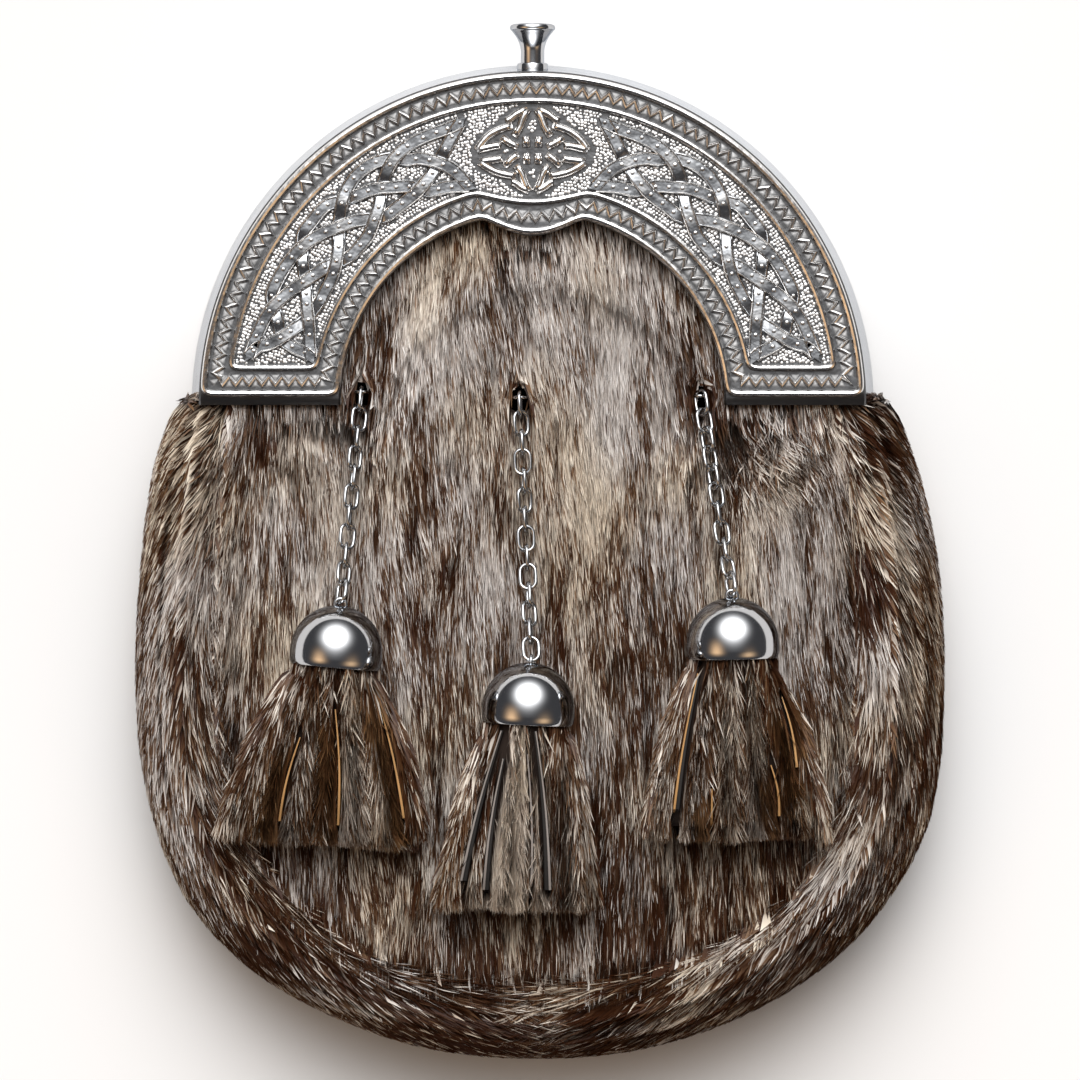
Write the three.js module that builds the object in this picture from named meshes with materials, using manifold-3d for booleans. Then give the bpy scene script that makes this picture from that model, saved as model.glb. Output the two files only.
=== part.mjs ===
// A dress sporran lying on its back: a fur pouch hung from a cast metal cantle, with three tassels on chains.
// Millimetres. From the front, +X is to the right, +Y points at the clasp knob and +Z comes out of the fur.
// The origin is on the surface that the pouch lies on, under the middle of its outline.
import * as THREE from 'three';
import { mergeVertices } from 'three/addons/utils/BufferGeometryUtils.js';
import Module from 'manifold-3d';

const wasm = await Module();
wasm.setup();

// Clearance between pieces that touch
const GAP = 0.3;

// Cantle: two half circles about one centre, with a scallop in the middle of the inner edge
const ARCH_X = -1.65;
const ARCH_Y = 29.9;
const PLATE_R_IN = 42.2;
const SCALLOP_HALF_WIDTH = 10.85;
const SCALLOP_DIP = 5;
const PLATE_BACK_Z = 34.3;
const ARCH_STEPS = 60;

// Cast relief across the plate, from the inner rim to the outer rim; dip is the share of the scallop taken
const PLATE_SECTION = [
  { radius: PLATE_R_IN, z: PLATE_BACK_Z, dip: 1 },
  { radius: PLATE_R_IN, z: 38.2, dip: 1 },
  { radius: 42.6, z: 38.6, dip: 1 },
  { radius: 43.3, z: 38.6, dip: 1 },
  { radius: 43.8, z: 37.2, dip: 1 },
  { radius: 46.6, z: 37.2, dip: 0.8 },
  { radius: 47.0, z: 38.4, dip: 0.75 },
  { radius: 48.2, z: 38.4, dip: 0.7 },
  { radius: 48.6, z: 36.9, dip: 0.65 },
  { radius: 65.8, z: 36.9, dip: 0 },
  { radius: 66.1, z: 38.4, dip: 0 },
  { radius: 67.2, z: 38.4, dip: 0 },
  { radius: 67.5, z: 37.2, dip: 0 },
  { radius: 71.2, z: 37.2, dip: 0 },
  { radius: 71.8, z: 38.6, dip: 0 },
  { radius: 72.9, z: 38.6, dip: 0 },
  { radius: 73.3, z: 38.0, dip: 0 },
  { radius: 73.3, z: PLATE_BACK_Z, dip: 0 },
];
const PLATE_R_OUT = PLATE_SECTION.at(-1).radius;

// Hoop behind the plate, flared towards the back, and the knob of its catch
const HOOP_DEPTH = PLATE_BACK_Z - GAP;
const HOOP_R_BACK = 76.6;
const HOOP_R_FRONT = 73.4;
const HOOP_WALL = 1.8;
const HOOP_END_ABOVE_ARCH = 2.2;
const KNOB_Z = HOOP_DEPTH / 2;
const COLLAR_R = 3.45;
const COLLAR_HEIGHT = 1.5;
const STEM_R = 2.45;
const STOP_R = 3.6;
const STOP_THICKNESS = 1.7;
const KNOB_STEM_HEIGHT = 4.1;
const KNOB_FLARE = [
  { radius: 2.7, height: 5.5 },
  { radius: 3.3, height: 6.7 },
  { radius: 4.4, height: 7.7 },
  { radius: 5.1, height: 8.3 },
  { radius: 5.1, height: 9.0 },
  { radius: 4.7, height: 9.4 },
];

// Fur front: a crowned hide wall that is clamped under the plate and rises away from it
const HIDE_WALL = 2.5;
const FRONT_UNDER_PLATE_Z = 33.4;
const FRONT_SEAM_Z = 35.6;
const FRONT_CROWN = 5;
const CROWN_MIDDLE = { x: -1, y: -25 };
const CROWN_HALF = { x: 71, up: 110, down: 75 };
const CROWN_POWER = 2.4;
const RISE_LENGTH = 16;
const PANEL_TUCK = 8;
const PANEL_TUCK_ABOVE_ARCH = 5;
const PANEL_ARC_STEPS = 24;
const PANEL_RINGS = [0, 0.2, 0.38, 0.54, 0.66, 0.76, 0.84, 0.92, 1];

// Stations around the pouch, from the left leg of the cantle down and round to the right one:
// the seam between front and border, and the outermost edge of the border
const STATIONS = [
  { seamX: -68.0, seamY: 31.6, edgeX: -79.9, edgeY: 31.6 },
  { seamX: -69.6, seamY: 16.0, edgeX: -84.9, edgeY: 17.0 },
  { seamX: -71.2, seamY: -8.0, edgeX: -88.2, edgeY: -8.0 },
  { seamX: -71.6, seamY: -33.0, edgeX: -89.1, edgeY: -33.2 },
  { seamX: -70.4, seamY: -55.0, edgeX: -86.6, edgeY: -56.5 },
  { seamX: -63.4, seamY: -69.5, edgeX: -78.8, edgeY: -78.1 },
  { seamX: -52.4, seamY: -81.8, edgeX: -65.3, edgeY: -93.6 },
  { seamX: -38.0, seamY: -91.4, edgeX: -46.7, edgeY: -104.7 },
  { seamX: -21.0, seamY: -96.4, edgeX: -25.7, edgeY: -112.0 },
  { seamX: -2.6, seamY: -98.4, edgeX: -3.0, edgeY: -114.3 },
  { seamX: 16.0, seamY: -96.2, edgeX: 20.6, edgeY: -112.7 },
  { seamX: 36.0, seamY: -91.0, edgeX: 44.0, edgeY: -105.4 },
  { seamX: 51.2, seamY: -82.5, edgeX: 63.5, edgeY: -93.6 },
  { seamX: 61.6, seamY: -71.4, edgeX: 76.6, edgeY: -79.8 },
  { seamX: 68.6, seamY: -56.5, edgeX: 86.4, edgeY: -60.6 },
  { seamX: 69.8, seamY: -33.0, edgeX: 89.1, edgeY: -33.0 },
  { seamX: 69.5, seamY: -8.0, edgeX: 88.0, edgeY: -7.0 },
  { seamX: 68.0, seamY: 14.0, edgeX: 83.9, edgeY: 13.5 },
  { seamX: 64.7, seamY: 31.6, edgeX: 77.6, edgeY: 31.6 },
];
const STEPS_PER_STATION = 2;
const BORDER_LEAST_WIDTH = 12;
const SEAM_GAP_SHARE = GAP / BORDER_LEAST_WIDTH;

// Border roll from the front seam round to the back: share of the way out to the edge,
// and height as a share of the roll's own height
const ROLL_RISE = 2.4;
const ROLL_SECTION = [
  { out: 0.0, height: 0.935 },
  { out: 0.18, height: 0.985 },
  { out: 0.42, height: 1.0 },
  { out: 0.7, height: 0.915 },
  { out: 0.9, height: 0.75 },
  { out: 1.0, height: 0.53 },
  { out: 0.95, height: 0.26 },
  { out: 0.8, height: 0.08 },
  { out: 0.62, height: 0.0 },
  { out: 0.45, height: 0.0 },
  { out: 0.32, height: 0.08 },
  { out: 0.27, height: 0.2 },
];
const ROLL_BACK_EDGE = ROLL_SECTION.at(-1).out;

// Leather back, set in from the surface that the pouch lies on, and its two strap loops
const BACK_Z = 7;
const BACK_WALL = 2;
const LOOP_X = 36;
const LOOP_Y = 46;
const LOOP_WIDTH = 24;
const LOOP_SPAN = 32;
const LOOP_FOOT = 8;
const LOOP_WALL = 1.6;
const LOOP_FLOOR_GAP = 0.2;

// Chains: oval wire links, every other one turned a quarter
const LINK_LENGTH = 6;
const LINK_WIDTH = 3.8;
const WIRE_R = 0.35;
const LINK_ROLL = THREE.MathUtils.degToRad(160);
const LINK_SEGMENTS = 12;
const WIRE_SIDES = 5;
// Height of each chain's middle over the fur, by its share of the way from the hole to the tassel
const CHAIN_LIFTS = [{ share: 0.25, lift: 2.5 }, { share: 0.5, lift: 2.9 }, { share: 0.75, lift: 4.9 }];
const CHAIN_HOLE_R = 2.5;
const ANCHOR_LENGTH = 8.4;
const ANCHOR_WIDTH = 3.4;
const ANCHOR_WIRE_R = 0.4;
const ANCHOR_STAND = 1.9;
const ANCHOR_BAR_R = 0.9;
const ANCHOR_BAR_LENGTH = 10;

// Tassels: a bell cap with an eye over a bunch of fur strips
const DOME_R = 10.1;
const DOME_SKIRT = 3.5;
const DOME_WALL = 1;
const DOME_STEPS = 5;
const DOME_SEGMENTS = 18;
const DOME_REST_GAP = 0.5;
const EYE_R = 1.6;
const EYE_WIRE_R = 0.4;
const EYE_STAND = 1.5;
const TASSELS = [
  {
    name: 'left', links: 11, holeX: -39.2, holeY: 32.8, domeX: -43.5, domeY: -13.9,
    lean: -5, length: 39.6, half: 22,
  },
  {
    name: 'centre', links: 14, holeX: -4.4, holeY: 31.5, domeX: -2.0, domeY: -26.3,
    lean: -3, length: 41.2, half: 16.6,
  },
  {
    name: 'right', links: 11, holeX: 35.2, holeY: 31.9, domeX: 41.8, domeY: -12.1,
    lean: 1, length: 40.3, half: 19.4,
  },
];
// Bunch sections: share of the way from the cap to the cut end, share of the spread, and half thickness
const BUNCH_IN_CAP = 4;
const BUNCH_NECK_R = 8.4;
const BUNCH_SECTIONS = [
  { along: 0.0, spread: 0.0, thick: 8.4 },
  { along: 0.12, spread: 0.18, thick: 8.4 },
  { along: 0.38, spread: 0.55, thick: 7.8 },
  { along: 0.7, spread: 0.88, thick: 6.6 },
  { along: 0.94, spread: 1.0, thick: 5.4 },
  { along: 1.0, spread: 0.94, thick: 4.4 },
];
const BUNCH_SIDES = 20;
const BUNCH_REST_GAP = 0.8;
const BUNCH_SETTLE_LENGTH = 16;

const FINISHES = {
  castMetal: { color: 0x8d8b88, roughness: 0.35, metalness: 1 },
  polishedMetal: { color: 0xb9b8b6, roughness: 0.12, metalness: 1 },
  fur: { color: 0x6b5a4a, roughness: 0.85, metalness: 0 },
  tasselFur: { color: 0x5a4433, roughness: 0.85, metalness: 0 },
  leather: { color: 0x1c1a19, roughness: 0.6, metalness: 0 },
};

const sporran = new THREE.Group();

function addPiece(name, geometry, finish) {
  const piece = new THREE.Mesh(geometry, new THREE.MeshStandardMaterial(FINISHES[finish]));
  piece.name = name;
  sporran.add(piece);
  return piece;
}

// Shared vertices are merged, slivers with a repeated corner dropped, and the faces turned outwards.
function closeUp(geometry) {
  geometry.deleteAttribute('normal');
  geometry.deleteAttribute('uv');
  const welded = mergeVertices(geometry, 1e-4);
  const corner = (k) => new THREE.Vector3().fromBufferAttribute(welded.attributes.position, k);
  const faces = [];
  let volume = 0;
  for (let k = 0; k < welded.index.count; k += 3) {
    const [a, b, c] = [0, 1, 2].map((j) => welded.index.getX(k + j));
    if (a === b || b === c || c === a) continue;
    faces.push([a, b, c]);
    volume += corner(a).dot(corner(b).cross(corner(c)));
  }
  welded.setIndex(faces.flatMap(([a, b, c]) => (volume > 0 ? [a, b, c] : [a, c, b])));
  return welded;
}

function toSolid(geometry) {
  const closed = closeUp(geometry);
  return new wasm.Manifold(new wasm.Mesh({
    numProp: 3,
    vertProperties: new Float32Array(closed.attributes.position.array),
    triVerts: new Uint32Array(closed.index.array),
  }));
}

function toGeometry(solid) {
  const { vertProperties, triVerts } = solid.getMesh();
  const geometry = new THREE.BufferGeometry();
  geometry.setAttribute('position', new THREE.BufferAttribute(vertProperties, 3));
  geometry.setIndex(new THREE.BufferAttribute(triVerts, 1));
  return geometry;
}

// A solid through closed sections: each section is a list of Vector2, and place puts a point in space.
function loft(outlines, place) {
  const turned = THREE.ShapeUtils.isClockWise(outlines[0]);
  const sections = turned ? outlines.map((outline) => outline.toReversed()) : outlines;
  const sides = sections[0].length;
  const points = sections.flatMap((section, k) => section.map((p) => place(k, p)));
  const faces = [];
  for (let k = 0; k + 1 < sections.length; k += 1) {
    for (let j = 0; j < sides; j += 1) {
      const [a, b] = [k * sides + j, k * sides + ((j + 1) % sides)];
      faces.push(a, b, b + sides, a, b + sides, a + sides);
    }
  }
  const last = (sections.length - 1) * sides;
  for (const [a, b, c] of THREE.ShapeUtils.triangulateShape(sections[0], [])) faces.push(a, c, b);
  for (const [a, b, c] of THREE.ShapeUtils.triangulateShape(sections.at(-1), [])) {
    faces.push(last + a, last + b, last + c);
  }
  const geometry = new THREE.BufferGeometry().setFromPoints(points);
  geometry.setIndex(faces);
  return closeUp(geometry);
}

// How far the scallop at the top of the arch brings the inner edge in, at an angle from +X.
function scallopDip(angle) {
  const across = (PLATE_R_IN * Math.cos(angle)) / SCALLOP_HALF_WIDTH;
  return SCALLOP_DIP * Math.max(0, 1 - across * across);
}

function onArch(angle, radius, z) {
  return new THREE.Vector3(ARCH_X + radius * Math.cos(angle), ARCH_Y + radius * Math.sin(angle), z);
}

// How far a point of the front lies clear of the plate's footprint.
function clearOfPlate(x, y) {
  const [dx, dy] = [x - ARCH_X, y - ARCH_Y];
  if (dy < 0) {
    const sideways = Math.max(PLATE_R_IN - Math.abs(dx), Math.abs(dx) - PLATE_R_OUT, 0);
    return Math.hypot(sideways, dy);
  }
  const inner = PLATE_R_IN - scallopDip(Math.atan2(dy, dx));
  return Math.max(inner - Math.hypot(dx, dy), 0);
}

function riseFromPlate(x, y) {
  return THREE.MathUtils.smoothstep(clearOfPlate(x, y), 0, RISE_LENGTH);
}

// Height of the fur front over the surface that the pouch lies on.
function frontHeight(x, y) {
  const [dx, dy] = [x - CROWN_MIDDLE.x, y - CROWN_MIDDLE.y];
  const halfY = dy > 0 ? CROWN_HALF.up : CROWN_HALF.down;
  const fall = Math.abs(dx / CROWN_HALF.x) ** CROWN_POWER + Math.abs(dy / halfY) ** CROWN_POWER;
  const free = FRONT_SEAM_Z + FRONT_CROWN * Math.max(0, 1 - fall);
  return THREE.MathUtils.lerp(FRONT_UNDER_PLATE_Z, free, riseFromPlate(x, y));
}

const seamCurve = new THREE.CatmullRomCurve3(STATIONS.map((s) => new THREE.Vector3(s.seamX, s.seamY, 0)));
const edgeCurve = new THREE.CatmullRomCurve3(STATIONS.map((s) => new THREE.Vector3(s.edgeX, s.edgeY, 0)));
const STATION_STEPS = (STATIONS.length - 1) * STEPS_PER_STATION;

// Points all along the border, a share of the way from the seam out to the edge.
function borderLine(share) {
  return Array.from({ length: STATION_STEPS + 1 }, (_, k) => {
    const t = k / STATION_STEPS;
    return seamCurve.getPoint(t).lerp(edgeCurve.getPoint(t), share);
  });
}

// Fur front: rings of points from its middle out to its sewn edge, over the same rings a wall lower
function makeFrontPanel() {
  const outline = borderLine(-SEAM_GAP_SHARE).map((p) => new THREE.Vector2(p.x, p.y));
  const tuckRadius = PLATE_R_IN + PANEL_TUCK;
  const [first, last] = [outline[0], outline.at(-1)];
  const startAngle = Math.asin(PANEL_TUCK_ABOVE_ARCH / tuckRadius);
  const arc = new THREE.EllipseCurve(ARCH_X, ARCH_Y, tuckRadius, tuckRadius, startAngle, Math.PI - startAngle);
  outline.push(new THREE.Vector2(last.x, ARCH_Y + PANEL_TUCK_ABOVE_ARCH));
  outline.push(...arc.getPoints(PANEL_ARC_STEPS));
  outline.push(new THREE.Vector2(first.x, ARCH_Y + PANEL_TUCK_ABOVE_ARCH));
  const middle = new THREE.Vector2(CROWN_MIDDLE.x, CROWN_MIDDLE.y);
  const grid = PANEL_RINGS.map((share) => outline.map((p) => middle.clone().lerp(p, share)));
  const spokes = outline.length;
  const layer = PANEL_RINGS.length * spokes;
  const lay = (drop) => grid.flat().map((p) => new THREE.Vector3(p.x, p.y, frontHeight(p.x, p.y) - drop));
  const faces = [];
  for (let ring = 0; ring + 1 < PANEL_RINGS.length; ring += 1) {
    for (let j = 0; j < spokes; j += 1) {
      const [a, b] = [ring * spokes + j, ring * spokes + ((j + 1) % spokes)];
      const [c, d] = [b + spokes, a + spokes];
      faces.push(a, d, c, a, c, b, layer + a, layer + c, layer + d, layer + a, layer + b, layer + c);
    }
  }
  for (let j = 0; j < spokes; j += 1) {
    const [a, b] = [layer - spokes + j, layer - spokes + ((j + 1) % spokes)];
    faces.push(a, layer + a, layer + b, a, layer + b, b);
  }
  const geometry = new THREE.BufferGeometry().setFromPoints([...lay(0), ...lay(HIDE_WALL)]);
  geometry.setIndex(faces);
  let panel = toSolid(geometry);
  for (const { holeX, holeY } of TASSELS) {
    const hole = new THREE.CylinderGeometry(CHAIN_HOLE_R, CHAIN_HOLE_R, 4 * HIDE_WALL, 16);
    hole.rotateX(Math.PI / 2).translate(holeX, holeY, frontHeight(holeX, holeY));
    panel = panel.subtract(toSolid(hole));
  }
  addPiece('front_panel', toGeometry(panel), 'fur');
}

// One section of the border roll, as a closed outline of distance out from the seam and height
function rollSection(width, seamZ, rise) {
  const height = seamZ / ROLL_SECTION[0].height + rise - ROLL_RISE;
  const skin = ROLL_SECTION.map((s) => new THREE.Vector2(s.out * width, s.height * height));
  const inside = skin.map((p, k) => {
    const before = skin[Math.max(k - 1, 0)];
    const after = skin[Math.min(k + 1, skin.length - 1)];
    const along = after.clone().sub(before).normalize();
    return new THREE.Vector2(p.x + along.y * HIDE_WALL, p.y - along.x * HIDE_WALL);
  });
  return [...skin, ...inside.toReversed()];
}

function makeGusset() {
  const [seam, edge] = [borderLine(0), borderLine(1)];
  const sections = seam.map((p, k) => {
    const rise = ROLL_RISE * riseFromPlate(p.x, p.y);
    return rollSection(p.distanceTo(edge[k]), frontHeight(p.x, p.y), rise);
  });
  const place = (k, p) => {
    const outwards = edge[k].clone().sub(seam[k]).normalize();
    return seam[k].clone().addScaledVector(outwards, p.x).setZ(p.y);
  };
  addPiece('gusset', loft(sections, place), 'fur');
}

// Leather back: inside the border's back edge below, and inside the hoop above
function makeBackPanel() {
  const low = borderLine(ROLL_BACK_EDGE - SEAM_GAP_SHARE).map((p) => new THREE.Vector2(p.x, p.y));
  const hoopRadius = THREE.MathUtils.lerp(HOOP_R_BACK, HOOP_R_FRONT, (BACK_Z + BACK_WALL) / HOOP_DEPTH);
  const radius = hoopRadius - HOOP_WALL - GAP;
  const shoulderY = low[0].y + 2 * GAP;
  const angle = Math.asin((shoulderY - ARCH_Y) / radius);
  const arc = new THREE.EllipseCurve(ARCH_X, ARCH_Y, radius, radius, angle, Math.PI - angle);
  const outline = [...low, new THREE.Vector2(low.at(-1).x, shoulderY), ...arc.getPoints(36)];
  outline.push(new THREE.Vector2(low[0].x, shoulderY));
  const back = new THREE.ExtrudeGeometry(new THREE.Shape(outline), { depth: BACK_WALL, bevelEnabled: false });
  addPiece('back_panel', closeUp(back), 'leather').position.z = BACK_Z;
}

// Strap loops: leather strips sewn to the back by both feet, standing off it between them
function makeStrapLoops() {
  const top = BACK_Z - GAP;
  const low = LOOP_FLOOR_GAP;
  const [inside, outside] = [LOOP_SPAN / 2, LOOP_SPAN / 2 + LOOP_WALL];
  const end = outside + LOOP_FOOT;
  const below = [[end, top], [end, top - LOOP_WALL], [outside, top - LOOP_WALL], [outside, low]];
  const above = [[inside, low + LOOP_WALL], [inside, top]];
  const mirrored = (points) => points.toReversed().map(([y, z]) => [-y, z]);
  const outline = [...below, ...mirrored(below), ...mirrored(above), ...above];
  for (const [name, x] of [['left', -LOOP_X], ['right', LOOP_X]]) {
    const shape = new THREE.Shape(outline.map(([y, z]) => new THREE.Vector2(y, z)));
    const strip = new THREE.ExtrudeGeometry(shape, { depth: LOOP_WIDTH, bevelEnabled: false });
    strip.rotateX(Math.PI / 2).rotateZ(Math.PI / 2).translate(-LOOP_WIDTH / 2, 0, 0);
    addPiece(`strap_loop_${name}`, closeUp(strip), 'leather').position.set(ARCH_X + x, LOOP_Y, 0);
  }
}

function makeCantlePlate() {
  const sections = Array.from({ length: ARCH_STEPS + 1 }, (_, k) => {
    const angle = (Math.PI * k) / ARCH_STEPS;
    return PLATE_SECTION.map((s) => new THREE.Vector2(s.radius - s.dip * scallopDip(angle), s.z));
  });
  const plate = loft(sections, (k, p) => onArch((Math.PI * k) / ARCH_STEPS, p.x, p.y));
  addPiece('cantle_plate', plate, 'castMetal');
}

// Hoop: a flared band round the arch, with the knob's collar soldered on and bored through
function makeHoop() {
  const section = [
    new THREE.Vector2(HOOP_R_BACK, 0),
    new THREE.Vector2(HOOP_R_FRONT, HOOP_DEPTH),
    new THREE.Vector2(HOOP_R_FRONT - HOOP_WALL, HOOP_DEPTH),
    new THREE.Vector2(HOOP_R_BACK - HOOP_WALL, 0),
  ];
  const endAngle = Math.asin(HOOP_END_ABOVE_ARCH / HOOP_R_BACK);
  const angleAt = (k) => THREE.MathUtils.lerp(endAngle, Math.PI - endAngle, k / ARCH_STEPS);
  const band = loft(Array(ARCH_STEPS + 1).fill(section), (k, p) => onArch(angleAt(k), p.x, p.y));
  const wallTop = knobSeatY();
  const collar = new THREE.CylinderGeometry(COLLAR_R, COLLAR_R, COLLAR_HEIGHT + HOOP_WALL / 2, 24);
  collar.translate(ARCH_X, wallTop + COLLAR_HEIGHT / 2 - HOOP_WALL / 4, KNOB_Z);
  const bore = new THREE.CylinderGeometry(STEM_R + GAP, STEM_R + GAP, 6 * HOOP_WALL, 24);
  bore.translate(ARCH_X, wallTop, KNOB_Z);
  const hoop = toSolid(band).add(toSolid(collar)).subtract(toSolid(bore));
  addPiece('frame_hoop', toGeometry(hoop), 'polishedMetal');
}

// Height along +Y of the hoop's outer face under the knob.
function knobSeatY() {
  return ARCH_Y + (HOOP_R_BACK + HOOP_R_FRONT) / 2;
}

// Knob: a trumpet on a stem that slides in the collar, held by a stop inside the hoop
function makeKnob() {
  const stopTop = -HOOP_WALL - 3 * GAP;
  const profile = [
    new THREE.Vector2(0, stopTop - STOP_THICKNESS),
    new THREE.Vector2(STOP_R, stopTop - STOP_THICKNESS),
    new THREE.Vector2(STOP_R, stopTop),
    new THREE.Vector2(STEM_R, stopTop),
    new THREE.Vector2(STEM_R, KNOB_STEM_HEIGHT),
    ...KNOB_FLARE.map((s) => new THREE.Vector2(s.radius, s.height)),
    new THREE.Vector2(0, KNOB_FLARE.at(-1).height),
  ];
  const knob = closeUp(new THREE.LatheGeometry(profile, 24));
  addPiece('clasp_knob', knob, 'polishedMetal').position.set(ARCH_X, knobSeatY(), KNOB_Z);
}

// A closed ring of wire, long along Z, wide along X
function wireRing(length, width, wireR) {
  const [halfWidth, straight] = [width / 2 - wireR, (length - width) / 2];
  const ring = Array.from({ length: LINK_SEGMENTS }, (_, k) => {
    const angle = (2 * Math.PI * (k + 0.5)) / LINK_SEGMENTS;
    const shift = straight * Math.sign(Math.sin(angle));
    return new THREE.Vector3(halfWidth * Math.cos(angle), 0, halfWidth * Math.sin(angle) + shift);
  });
  const path = new THREE.CatmullRomCurve3(ring, true);
  return new THREE.TubeGeometry(path, LINK_SEGMENTS, wireR, WIRE_SIDES, true);
}

// The way a tassel's axis points, from its cap to its cut end
function tasselWay({ lean }) {
  const angle = THREE.MathUtils.degToRad(lean);
  return new THREE.Vector3(Math.sin(angle), -Math.cos(angle), 0);
}

function domeTop(tassel) {
  const way = tasselWay(tassel);
  const middle = new THREE.Vector3(tassel.domeX, tassel.domeY, 0).addScaledVector(way, DOME_R);
  const height = frontHeight(middle.x, middle.y) + DOME_R + DOME_REST_GAP;
  return new THREE.Vector3(tassel.domeX, tassel.domeY, height);
}

function makeAnchor({ name, holeX, holeY }) {
  const ring = wireRing(ANCHOR_LENGTH, ANCHOR_WIDTH, ANCHOR_WIRE_R);
  const bar = new THREE.CylinderGeometry(ANCHOR_BAR_R, ANCHOR_BAR_R, ANCHOR_BAR_LENGTH, 10);
  bar.rotateZ(Math.PI / 2).translate(0, 0, -ANCHOR_LENGTH / 2 + ANCHOR_WIRE_R);
  const anchor = addPiece(`chain_anchor_${name}`, toGeometry(toSolid(ring).add(toSolid(bar))), 'polishedMetal');
  const top = frontHeight(holeX, holeY) + ANCHOR_STAND + ANCHOR_WIRE_R;
  anchor.position.set(holeX, holeY, top - ANCHOR_LENGTH / 2);
}

// Chain: links threaded along a curve from the anchor's eye, over the fur, up to the cap's eye
function makeChain(tassel) {
  const { name, holeX, holeY, links } = tassel;
  const start = new THREE.Vector3(holeX, holeY, frontHeight(holeX, holeY) + ANCHOR_STAND);
  const end = domeTop(tassel).addScaledVector(tasselWay(tassel), -EYE_STAND);
  const route = [start];
  for (const { share, lift } of CHAIN_LIFTS) {
    const p = start.clone().lerp(end, share);
    route.push(p.setZ(frontHeight(p.x, p.y) + lift));
  }
  const path = new THREE.CatmullRomCurve3([...route, end]);
  const wire = 2 * WIRE_R;
  const slack = (links * LINK_LENGTH - (2 * links + 1) * wire - path.getLength()) / (links + 1);
  const pitch = LINK_LENGTH - 2 * wire - slack;
  const first = LINK_LENGTH / 2 - 1.5 * wire - slack;
  for (let k = 0; k < links; k += 1) {
    const t = (first + k * pitch) / path.getLength();
    const tangent = path.getTangentAt(t);
    const side = new THREE.Vector3().crossVectors(tangent, new THREE.Vector3(0, 0, 1)).normalize();
    const normal = side.applyAxisAngle(tangent, LINK_ROLL + (k * Math.PI) / 2);
    const width = new THREE.Vector3().crossVectors(normal, tangent);
    const label = String(k + 1).padStart(2, '0');
    const oval = closeUp(wireRing(LINK_LENGTH, LINK_WIDTH, WIRE_R));
    const link = addPiece(`${name}_link_${label}`, oval, 'polishedMetal');
    link.quaternion.setFromRotationMatrix(new THREE.Matrix4().makeBasis(width, normal, tangent));
    link.position.copy(path.getPointAt(t));
  }
}

// Bell cap: a thin half ball with a straight skirt, open below, with its eye soldered on top
function makeDome(tassel) {
  const bow = (radius) => Array.from({ length: DOME_STEPS + 1 }, (_, k) => {
    const angle = (Math.PI / 2) * (k / DOME_STEPS);
    return new THREE.Vector2(radius * Math.sin(angle), radius * Math.cos(angle) - DOME_R);
  });
  const rimY = -DOME_R - DOME_SKIRT;
  const inner = bow(DOME_R - DOME_WALL).toReversed();
  const profile = [
    ...bow(DOME_R), new THREE.Vector2(DOME_R, rimY), new THREE.Vector2(DOME_R - DOME_WALL, rimY), ...inner,
  ].toReversed();
  const cap = new THREE.LatheGeometry(profile, DOME_SEGMENTS);
  const eye = wireRing(2 * EYE_R + 2 * EYE_WIRE_R, 2 * EYE_R, EYE_WIRE_R);
  const facesFront = tassel.links % 2 === 1;
  eye.rotateX(-Math.PI / 2).rotateY(facesFront ? 0 : Math.PI / 2);
  eye.translate(0, EYE_STAND - EYE_R, 0);
  const solid = toSolid(cap).add(toSolid(eye));
  const dome = addPiece(`tassel_dome_${tassel.name}`, toGeometry(solid), 'polishedMetal');
  dome.position.copy(domeTop(tassel));
  dome.rotation.z = THREE.MathUtils.degToRad(tassel.lean);
}

// Bunch: oval sections from inside the cap, spreading and flattening down to the cut end on the fur
function makeBunch(tassel) {
  const way = tasselWay(tassel);
  const side = new THREE.Vector3(-way.y, way.x, 0);
  const top = domeTop(tassel);
  const rim = top.clone().addScaledVector(way, DOME_R + DOME_SKIRT);
  const stations = [
    { down: -BUNCH_IN_CAP, half: BUNCH_NECK_R, thick: BUNCH_NECK_R },
    ...BUNCH_SECTIONS.map((s) => ({
      down: s.along * tassel.length,
      half: THREE.MathUtils.lerp(BUNCH_NECK_R, tassel.half, s.spread),
      thick: s.thick,
    })),
  ];
  const oval = ({ half, thick }) => Array.from({ length: BUNCH_SIDES }, (_, j) => {
    const angle = (2 * Math.PI * j) / BUNCH_SIDES;
    return new THREE.Vector2(half * Math.cos(angle), thick * Math.sin(angle));
  });
  const bunch = loft(stations.map(oval), (k, p) => {
    const { down, thick } = stations[k];
    const middle = rim.clone().addScaledVector(way, down);
    const lying = frontHeight(middle.x, middle.y) + thick + BUNCH_REST_GAP;
    const settled = THREE.MathUtils.clamp(down / BUNCH_SETTLE_LENGTH, 0, 1);
    middle.z = THREE.MathUtils.lerp(top.z, lying, settled);
    return middle.addScaledVector(side, p.x).setZ(middle.z + p.y);
  });
  addPiece(`tassel_${tassel.name}`, bunch, 'tasselFur');
}

makeFrontPanel();
makeGusset();
makeBackPanel();
makeStrapLoops();
makeCantlePlate();
makeHoop();
makeKnob();
for (const tassel of TASSELS) {
  makeAnchor(tassel);
  makeChain(tassel);
  makeDome(tassel);
  makeBunch(tassel);
}

export default sporran;
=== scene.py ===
from math import asin, cos, pi, radians, sin

import bpy
import numpy as np
from mathutils import Matrix, Vector
from mathutils.bvhtree import BVHTree
from numpy.linalg import norm
from numpy.random import default_rng


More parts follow.
